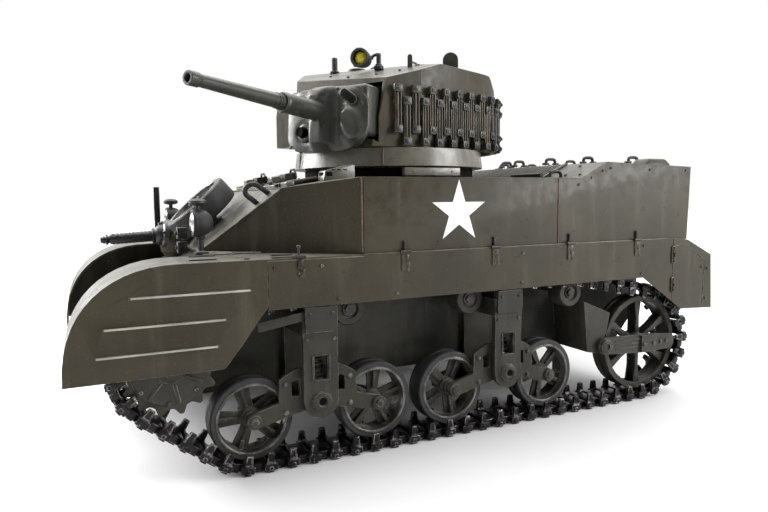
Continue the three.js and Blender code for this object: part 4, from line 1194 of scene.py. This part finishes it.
def build_side_fittings():
    for side, sign in SIDES:
        latches, pins, seams, bolts = Shape(), Shape(), Shape(), Shape()
        for x in (191, 74.6, -40, -149, -259):
            clip(latches, pins, x)
        for x in (122.4, -132.4):
            top = 293.6 if x < BEND_X else 293.8
            bead(seams, [(x, SIDE_Y + 0.2, JOINT_Z + 1), (x, SIDE_Y + 0.2, top)], 0.75)
        for x, z in SIDE_BOLTS:
            bolt(bolts, (x, SIDE_Y + 0.6, z), LEFT, 1.7)
        for x, z in SKIRT_BOLTS:
            bolt(bolts, (x, SKIRT_Y + 0.6, z), LEFT, 1.9)
        for z0, z1 in ((182.5, 205.3), (144.2, 164)):
            ring = stadium((-325, z0 + 3), (-325, z1 - 3), 2.6)
            latches.tube([(x, SKIRT_Y + 1.0, z) for x, z in ring + ring[:1]], 1.0, sides=8)
            for z in (z0 + 6, z1 - 6):
                latches.rod(1.9, 5, (-325, SKIRT_Y + 1.0, z), sides=12)
        inset = [(-328, 206), (-349.3, 204.1), (-387, 184.3), (-384, 122)]
        for start, end in zip(inset, inset[1:]):
            bolts.tube([(start[0], SKIRT_Y, start[1]), (end[0], SKIRT_Y, end[1])], 0.55, sides=6)
        for x, z in ((347.7, 192.5), (318, 210.5)):
            bolts.rod(2.0, 3.4, (x, 150, z), (0.55, 0, 0.83), sides=16, edge=0.6)
        # Painted highlight: a tan line along the skirt's joint with the hull side, and a shorter one ahead of
        # it.
        line = Shape()
        line.box((434, 0.7, 0.9), (-95, SKIRT_Y - 0.1, JOINT_Z - 0.1), bevel=0.3)
        line.box((100, 0.7, 0.8), (172, SKIRT_Y - 0.1, JOINT_Z - 2.4), bevel=0.3)
        place = mirror(sign)
        store(f"latches_{side}", latches, "hull", BRASS, matrix=place)
        store(f"latch_pins_{side}", pins, "hull", BLACK, matrix=place)
        store(f"weld_seams_{side}", seams, "hull", WELD, matrix=place)
        store(f"side_bolts_{side}", bolts, "hull", OLIVE_DARK, matrix=place)
        store(f"joint_highlight_{side}", line, "hull", TAN_HIGHLIGHT, matrix=place)
        # Pale rods on the fender ribs: painted highlight along each rib, with rubbed paint.
        ribs = Shape()
        for x0, x1, z in ((239, 347, 187), (263, 369.5, 161), (271, 377, 136.5)):
            ribs.rod(1.0, x1 - x0 - 2, ((x0 + x1) / 2, SKIRT_Y + 1.0, z), AHEAD, sides=12)
        store(f"fender_ribs_{side}", ribs, "hull", RIB_HIGHLIGHT, matrix=place)
        # Painted shade: thin black boxes where the fender's slots are dark inside.
        slits = Shape()
        for x, y, length in ((273, 128, 26), (279, 168, 26), (199, 158, 22), (206, 184, 22), (240, 180, 6)):
            slits.box((length, 3.0, 1.0), (x, y, 216.2), bevel=0.3)
        store(f"fender_slots_{side}", slits, "hull", BLACK, matrix=place)


def lifting_ring(shape, base, normal, along):
    """A heavy U of round bar with its legs on a plate."""
    height, width, rod = 24, 16.5, 2.9
    base, normal, along = Vector(base), Vector(normal).normalized(), Vector(along).normalized()
    straight = height - width / 2 - rod
    points = [base - along * width / 2 - normal * 1.0, base - along * width / 2 + normal * straight]
    for i in range(1, 12):
        angle = math.pi - math.pi * i / 12
        rise = straight + math.sin(angle) * width / 2
        points.append(base + normal * rise + along * math.cos(angle) * width / 2)
    points += [base + along * width / 2 + normal * straight, base + along * width / 2 - normal * 1.0]
    shape.tube(points, rod, sides=16)


# Out of the sloping front plate, and up along it.
GLACIS = Vector((BROW_Z - TOE_Z, 0, TOE_X - BROW_X)).normalized()
UP_GLACIS = Vector((BROW_X - TOE_X, 0, BROW_Z - TOE_Z)).normalized()


def build_bow():
    rings = Shape()
    for side in (1, -1):
        along = UP_GLACIS * 0.94 + Vector((0, side * 0.3, 0))
        lifting_ring(rings, (201, side * 98, 273.6), GLACIS * 0.95 + Vector((0.25, 0, 0)), along)
    store("lifting_rings", rings, "hull", BLACK)
    brow = Shape()
    slope = math.atan2(ROOF_Z - BROW_Z, BROW_X - BEND_X)
    tilt = Matrix.Rotation(slope, 4, "Y")

    def roof_at(x):
        return ROOF_Z - max(0, x - BEND_X) * (ROOF_Z - BROW_Z) / (BROW_X - BEND_X)

    for side in (1, -1):
        hood = [(100, ROOF_Z - 1), (138, roof_at(138) - 1), (136, 303.5), (128, 305), (104, 311), (100, 310)]
        side_plate(brow, hood, *sorted((side * 99, side * 119)), 1.0)
        brow.box((11, 15, 12), (176, side * 60, roof_at(176) + 6), turn=tilt, bevel=1.2)
        brow.box((9, 24, 5), (176, side * 108, roof_at(176) + 2.5), turn=tilt, bevel=1.0)
    brow.box((5, 176, 3.2), (182.5, 0, roof_at(182.5) + 1.4), turn=tilt, bevel=0.8)
    for y in (-88, -44, 0, 44, 88):
        bolt(brow, (182.5, y, roof_at(182.5) + 3.4), UP, 1.6)
    brow.box((10, 26, 12), (150, 0, roof_at(150) + 6), turn=tilt, bevel=1.6)
    # A thin plate on each fender's shelf closes the gap beside the toed-in hull side.
    fall = (TOE_Y - SIDE_Y) / (TOE_X - BEND_X)
    inner = [(x, SIDE_Y + (x - BEND_X) * fall) for x in (209, 262)]
    gusset = [(209, 117), *inner, (269, 68), (269, 117)]
    for sign in (1, -1):
        corners = [(x, sign * y) for x, y in gusset]
        brow.plate(corners if sign > 0 else corners[::-1], 1.0, Matrix.Translation((0, 0, 215.9)), 0.2)
    # Painted sheen: the brow fittings take the olive lightened for the light that falls on them.
    store("brow_fittings", brow, "hull", PALE_OLIVE_SHEEN)
    # Painted shade: thin black boxes where the vision slits are dark inside.
    dark = Shape()
    for side in (1, -1):
        dark.box((0.8, 12, 3.4), (136.9, side * 109, 300), bevel=0.2)
        dark.box((7, 0.8, 4.5), (131, side * 119.2, 299.8), bevel=0.2)
        for x in (112, 119, 126):
            dark.box((4.4, 0.8, 1.2), (x, side * 119.2, 304.6), bevel=0.2)
        dark.box((0.8, 11, 3.2), (181.8, side * 60, roof_at(181) + 5), bevel=0.2)
    store("vision_slits", dark, "hull", SHADE_BLACK)
    for side, sign in SIDES:
        trim = Shape()
        handle = [(-9, 0, 0), (-9, 0, 7), (-6, 0, 10), (6, 0, 10), (9, 0, 7), (9, 0, 0)]
        place = Matrix.Translation((155, sign * 66, roof_at(155) + 7)) @ tilt
        place = place @ Matrix.Rotation(math.pi / 2, 4, "Z")
        trim.tube([place @ Vector(point) for point in handle], 1.4, sides=8)
        for x in (139, 172):
            for y in (36, 92):
                bolt(trim, (x, sign * y, roof_at(x) + 5.0), UP, 1.6)
        store(f"driver_hatch_trim_{side}", trim, f"driver_hatch_{side}", BLACK)
    glacis = Shape()
    bead(glacis, [(BROW_X + 1, -BROW_Y + 3, BROW_Z - 0.4), (BROW_X + 1, BROW_Y - 3, BROW_Z - 0.4)], 0.8)
    for side in (1, -1):
        brow_end = (BROW_X + 0.6, side * (BROW_Y - 0.4), BROW_Z - 1)
        bead(glacis, [brow_end, (TOE_X, side * (TOE_Y + 0.6), TOE_Z + 0.6)], 0.8)
    store("glacis_welds", glacis, "hull", OLIVE_DARK)


def build_headlights():
    for side, sign in SIDES:
        x, y, z = 270.6, sign * 105, 248.9
        lamp = Shape()
        lamp.lathe([
            (0, -14.4), (3.4, -14), (7, -12.6), (10.2, -10), (12.6, -6.6), (13.9, -2.4), (14, 2), (13.9, 3),
            (14.3, 3.6), (14.3, 6), (13.6, 7.2), (12.2, 7.4), (12, 5.8), (0, 5.8),
        ], at=(x, y, z), axis=AHEAD, sides=56)
        lamp.rod(3.0, 16, (x - 1, y, z - 21), sides=20)
        lamp.rod(5.0, 4, (x - 1, y, z - 15), sides=22, edge=1.2)
        lamp.rod(7.6, 2.6, (x - 1, y, 217.4), sides=28)
        lamp.rod(2.4, 8, (x + 1, y, z + 16), sides=16)
        lamp.lathe([(0, 17.8), (4, 18), (7.6, 18.8), (9.4, 20.6), (9, 23), (5.6, 25), (0, 25.6)],
                   at=(x + 1, y, z), sides=32)
        for height in (223, 238):
            lamp.box((10, 11, 12), (x + 15, y - sign * 20, height), bevel=0.9)
            lamp.hexagon(2.2, 2.4, (x + 20.6, y - sign * 20, height), AHEAD)
            lamp.rod(1.6, 3, (x + 12, y - sign * 13.6, height), LEFT, sides=12)
        store(f"headlight_shell_{side}", lamp, "hull", RUBBER, instead=[f"headlight_{side}"],
              slot="black_metal")
        lens = Shape()
        lens.lathe([(0, 9.6), (5, 9.2), (9, 8.2), (12, 6.4), (12, 5), (0, 5)], at=(x, y, z), axis=AHEAD,
                   sides=44)
        store(f"headlight_glass_{side}", lens, "hull", GLASS)
    # One upright bar guards the right lamp. The left lamp has none.
    guard = Shape()
    guard.box((7.4, 3.2, 73), (289.5, -101, 253.5), bevel=0.8)
    guard.box((9, 12, 2.4), (291, -101, 217.4), bevel=0.6)
    store("headlight_guard", guard, "hull", BLACK)


def build_spare_wheel():
    place = Matrix.Translation((250, 0, 262)) @ Matrix.Rotation(math.radians(42.4), 4, "Y")
    place = place @ Matrix.Rotation(math.pi / 2, 4, "X")
    store("spare_tyre", tyre(False), "hull", RUBBER, matrix=place, instead=["spare_wheel"])
    store("spare_disc", wheel_disc(), "hull", OLIVE_DARK, RIM, matrix=place)
    stem = Shape()
    stem.rod(7, 14, (0, -16, 0), LEFT, sides=28)
    stem.rod(11, 3, (0, -22.4, 0), LEFT, sides=32)
    stem.hexagon(6, 4, (0, 14.6, 0), LEFT)
    for i in range(5):
        angle = i * 2 * math.pi / 5
        stem.hexagon(1.8, 2.2, (13.5 * math.cos(angle), 6, 13.5 * math.sin(angle)), LEFT)
    store("spare_wheel_stem", stem, "hull", BLACK, matrix=place)


def build_bow_gun():
    place = Matrix.Translation((288, -60, 229)) @ Matrix.Rotation(math.radians(3), 4, "Y")
    gun = Shape()
    gun.ball(13.4, 16)
    gun.rod(4.6, 66, (37, 0, 0), AHEAD, sides=20)
    gun.lathe([(4, 11), (6.6, 11.6), (6.3, 60), (5.4, 62), (4, 62)], axis=AHEAD, sides=32)
    gun.lathe([(3.2, 64), (5.8, 64), (6.4, 65), (6.4, 66.4), (4.4, 67.6), (3.8, 71), (3.2, 72.6), (1.8, 72.6),
               (1.8, 66), (3.2, 66)], axis=AHEAD, sides=28)
    gun.lathe([(7, 9), (9.4, 9.4), (9.6, 12.6), (7, 13.4)], axis=AHEAD, sides=28)
    store("bow_gun_body", gun, "bow_gun", BLACK, matrix=place, instead=["bow_gun"])
    # Painted shade: black discs on the jacket where its cooling holes are dark inside.
    holes = Shape()
    for i in range(10):
        for j in range(8):
            angle = (j + 0.5 * (i % 2)) * math.pi / 4
            out = Vector((0, math.cos(angle), math.sin(angle)))
            holes.rod(1.35, 0.9, Vector((15.5 + i * 4.7, 0, 0)) + out * 6.25, out, sides=12)
    store("bow_gun_holes", holes, "bow_gun", RUBBER, matrix=place, slot="black_metal")
    collar = Shape()
    collar.lathe([(14.6, -4), (20, -6), (21, -2), (19, 3), (15.5, 4.6), (14.6, 3)], at=(285, -60, 228),
                 axis=(0.96, 0, 0.1), sides=40)
    for i in range(6):
        angle = i * math.pi / 3 + 0.3
        collar.hexagon(1.6, 2, (289, -60 + 18 * math.cos(angle), 228 + 18 * math.sin(angle)), (1, 0, 0.1))
    store("bow_gun_collar", collar, "hull", CAST)


def handle(shape, x, y, z, width, height):
    """A grab handle of round bar that lies fore and aft."""
    half = ((-0.5, -0.08), (-0.5, 0.55), (-0.42, 0.86), (-0.26, 1))
    bends = half + tuple((-share, rise) for share, rise in half[::-1])
    shape.tube([(x + share * width, y, z + rise * height) for share, rise in bends], 2.2, sides=10)


def build_rear_deck():
    handles = Shape()
    pads = Shape()
    spots = ((-225, -40), (-232, 55), (-260, 100), (-318, 125), (-262, -96), (-318, -95), (-225, -8),
             (-300, 20))
    for x, y in spots:
        rise = DECK_Z + 3.4
        handle(handles, x, y, rise + 1, 16, 6.5)
        for dx in (-9, 9):
            pads.box((7, 8, 3.2), (x + dx, y, rise + 0.8), bevel=1.1)
    for side in (1, -1):
        handle(handles, -160, side * 150, ROOF_Z, 17, 9)
        handles.rod(3.0, 62, (-154, side * 100, ROOF_Z + 5), LEFT, sides=16)
        for y in (74, 126):
            handles.box((6, 4, 6), (-154, side * y, ROOF_Z + 2.4), bevel=0.6)
        for dx in (-9, 9):
            pads.box((6, 7, 2.4), (-160 + dx, side * 150, ROOF_Z + 0.8), bevel=0.8)
    store("deck_pads", pads, "hull", OLIVE_DARK)
    store("deck_handles", handles, "hull", BLACK)
    slope = math.atan2(DECK_Z - ROOF_Z, RAMP_X - DECK_X)
    tilt = Matrix.Rotation(slope, 4, "Y")
    grille = Shape()
    centre = Vector(((RAMP_X + DECK_X) / 2, 0, (ROOF_Z + DECK_Z) / 2))
    out = tilt.to_3x3() @ Vector((0, 0, 1))
    count = 38
    for i in range(count + 1):
        y = -112 + 224 * i / count
        grille.box((40, 2.3, 2.6), centre + out * 1.4 + Vector((0, y, 0)), turn=tilt, bevel=0.5)
    for y in (-116, 116):
        grille.box((43, 4, 3.4), centre + out * 1.5 + Vector((0, y, 0)), turn=tilt, bevel=0.7)
    for y, dx in ((-150, 12), (-150, -12), (150, 12), (150, -12), (176, 12), (-176, 12)):
        spot = centre + Vector((dx, y, -dx * math.tan(slope))) + out * 0.8
        bolt(grille, spot, out, 1.9)
    for side in (1, -1):
        grille.box((46, 30, 9), (-322, side * 152, DECK_Z + 2.6), bevel=2.2, taper=0.72)
    for x in (-222, -330):
        for y in (-128, -64, 0, 64, 128):
            bolt(grille, (x, y, DECK_Z + 2.4 - (DECK_X - x) * 0.03), UP, 1.9)
    store("engine_grille", grille, "hull", OLIVE)


def build_hull_ends():
    rear = Shape()
    for y in (-62, 62):
        place = Matrix.Translation((REAR_X - 0.2, y, 0)) @ Matrix.Rotation(-math.pi / 2, 4, "Z") @ UPRIGHT
        rear.plate([(-30, 226), (30, 226), (30, 290), (-30, 290)], 2.4, place, 0.8)
        for dy in (-24, 24):
            for z in (232, 284):
                bolt(rear, (REAR_X - 3.0, y + dy, z), (-1, 0, 0), 1.8)
    store("rear_doors", rear, "hull", OLIVE)
    lamps = Shape()
    for y in (-160, 160):
        lamps.rod(8, 12, (REAR_X - 4, y, 292), (-1, 0, 0), sides=28)
        lamps.box((6, 20, 12), (REAR_X - 1, y, 279), bevel=1.2)
    store("tail_lamps", lamps, "hull", BLACK)
    glow = Shape()
    for y in (-160, 160):
        glow.lathe([(0, 2.4), (4, 1.8), (6.4, 0), (0, 0)], at=(REAR_X - 9.4, y, 292), axis=(-1, 0, 0),
                   sides=28)
    store("tail_lamp_lenses", glow, "hull", RED)
    nose = Shape()
    for y in (-97.2, 97.2, -34.2, 34.2):
        bolt(nose, (266, y, 206.5), (1, 0, 0.6), 2.0)
    store("nose_bolts", nose, "hull", OLIVE_DARK)


place_camera()
place_lights()
place_floor()
build_hull_skins()
build_tracks()
build_road_wheels()
build_other_wheels()
build_suspension()
build_gun()
build_spare_links()
build_turret_fittings()
build_race()
build_spotlight()
build_markings()
build_side_fittings()
build_bow()
build_headlights()
build_spare_wheel()
build_bow_gun()
build_rear_deck()
build_hull_ends()
